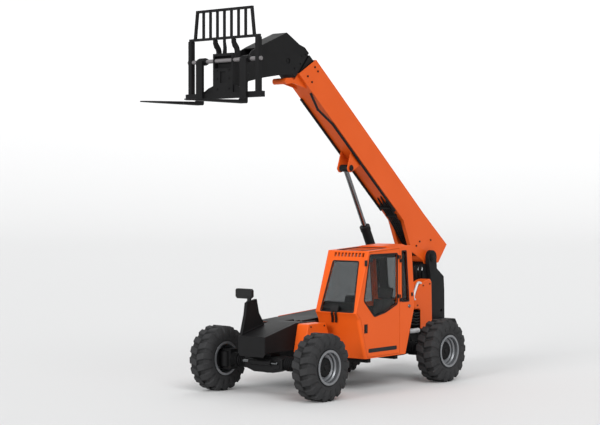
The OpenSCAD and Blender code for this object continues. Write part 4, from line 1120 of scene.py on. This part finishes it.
# %% Hoses, filter and rail behind the cab
for number in range(6):
    hose(
        "valve_hose_" + str(number),
        side_line(0.320 + 0.030 * number, (
            (1.53 + 0.01 * (number % 3), 1.165), (1.53, 1.24 + 0.012 * number),
            (1.550, 1.315 + 0.010 * number), (1.61, 1.345), (1.68, 1.335), (1.735, 1.325),
        )),
        0.013,
    )
for number in range(5):
    z = 0.955 + 0.050 * number
    hose(
        "valve_line_" + str(number),
        [at(0.478, y, z + rise) for y, rise in (
            (1.565, 0.0), (1.62, 0.0), (1.68, 0.02 * (number % 2)), (1.76, -0.02), (1.82, -0.01),
            (1.90, -0.01),
        )],
        0.014,
    )
for number in range(7):
    sway = 0.016 * (number % 2)
    hose(
        "tower_hose_" + str(number),
        side_line(-0.126 + 0.042 * number, (
            (2.53, 1.60), (2.48, 1.61), (2.425 + sway, 1.70), (2.395 + sway, 1.83), (2.42, 1.93),
            (2.49, 1.985), (2.53, 2.02),
        )),
        0.017,
    )
formed_plate(
    "tower_hose_guard",
    side_line(0.200, (
        (2.350, 1.660), (2.620, 1.600), (2.620, 1.800), (2.490, 1.930), (2.460, 1.975), (2.350, 1.975),
    )),
    (0.006, 0, 0), 0.002, "chassis", "black_paint",
)
filter_shell = [
    (0.0, 0.0), (0.041, 0.0), (0.0445, 0.004), (0.0445, 0.016), (0.0418, 0.020), (0.0418, 0.290),
    (0.0445, 0.294), (0.0445, 0.306), (0.040, 0.322), (0.024, 0.332), (0.0, 0.334),
]
turned(
    "filter_can", filter_shell, at(0.500, 1.483, 0.840), backward, "chassis", "wheel_silver", 40,
    bright_plate,
)
hose(
    "panel_rail",
    side_line(0.480, (
        (1.905, 1.660), (1.850, 1.678), (1.815, 1.668), (1.780, 1.615), (1.730, 1.530), (1.690, 1.440),
        (1.690, 1.400), (1.735, 1.380),
    )),
    0.023, "chassis", "bright_steel", bright_plate,
)
pressed_box(
    "panel_backing", at(0.288, 1.864, 0.864), at(0.497, 1.8697, 1.188), ahead_way, 0.02, -0.003, 0.001,
    "chassis", "black_paint",
)
print("behind the cab: 18 hoses, guard, filter, rail and backing")

# %% [markdown]
# ## Nose and axles
# A plate is bolted over the nose and hangs a little below it. It is cut from sheet with its lower
# corners taken off, so it is an outline extruded by the sheet's thickness.

# %% Nose plate
formed_plate(
    "nose_plate",
    [at(x, -2.0505, z) for x, z in (
        (-0.283, 0.974), (0.283, 0.974), (0.283, 0.700), (0.245, 0.655), (-0.245, 0.655), (-0.283, 0.700),
    )],
    (0, -0.008, 0), 0.003, "chassis", "black_paint",
)
print("nose plate")

# %% [markdown]
# Each axle has a wide cast housing in its middle, ribbed arms, and a steering cylinder across it, of
# which the bright rods show on both sides. The housing is an outline extruded and well rounded, as a
# casting is; ribs, barrel and rods are turned.

# %% Axle housings
axle_height = 0.535
housing_line = (
    (-0.300, -0.118), (-0.200, -0.150), (0.200, -0.150), (0.300, -0.118), (0.400, -0.088), (0.400, 0.088),
    (0.300, 0.112), (-0.300, 0.112), (-0.400, 0.088), (-0.400, -0.088),
)
rib_ring = [(0.094, 0.0), (0.112, 0.002), (0.118, 0.007), (0.118, 0.013), (0.112, 0.018), (0.094, 0.020)]
barrel_profile = [
    (0.0, -0.23), (0.040, -0.23), (0.046, -0.224), (0.046, -0.19), (0.041, -0.186), (0.041, 0.186),
    (0.046, 0.19), (0.046, 0.224), (0.040, 0.23), (0.0, 0.23),
]
rod_profile = [(0.0, -0.36), (0.017, -0.36), (0.020, -0.357), (0.020, 0.357), (0.017, 0.36), (0.0, 0.36)]
for end, way in (("front", -1), ("rear", 1)):
    low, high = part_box(end + "_axle")
    centre = (Vector(low) + Vector(high)) / 2
    centre.z = axle_height
    housing = plate(
        end + "_axle_housing", [centre + Vector((x, -0.130, z)) for x, z in housing_line], (0, 0.260, 0),
    )
    for direction in (ahead_way, backward):
        face_pushed(housing, direction, 0.030, 0.030)
    hand_over(soften(housing, 0.022, 3, 20), "chassis", "black_casting")
    for number in range(4):
        for side, name in ((left, "_left"), (right, "_right")):
            turned(
                end + "_axle_rib_" + str(number) + name, rib_ring,
                centre + (0.425 + 0.040 * number) * side, side, "chassis", "black_casting", 40,
            )
    line = centre + Vector((0, 0.195 * way, 0.02))
    turned(end + "_steering_barrel", barrel_profile, line, left, "chassis", "black_paint", 32)
    turned(end + "_steering_rod", rod_profile, line, left, "chassis", "bright_steel", 24)
print("axles: 2 dressed")

# %% [markdown]
# The front cover and the rear panel are held by four bolts each. They are copies of the one bolt,
# set a little into the sheet, so that all bolts of the machine stay alike.

# %% Bolts of the frame
for name, x, places in (
    ("cover_bolts", 0.520, ((-1.20, 1.10), (-0.86, 1.10), (-1.29, 0.74), (-0.83, 0.74))),
    ("panel_bolts", 0.500, ((1.78, 1.28), (1.95, 1.62), (2.15, 1.64), (2.17, 0.95))),
):
    spots = [(point, left, 0.013) for point in side_line(x, places)]
    bolts(name, spots, "chassis")
bpy.data.objects.remove(bolt_pattern)
print("frame: bolts")
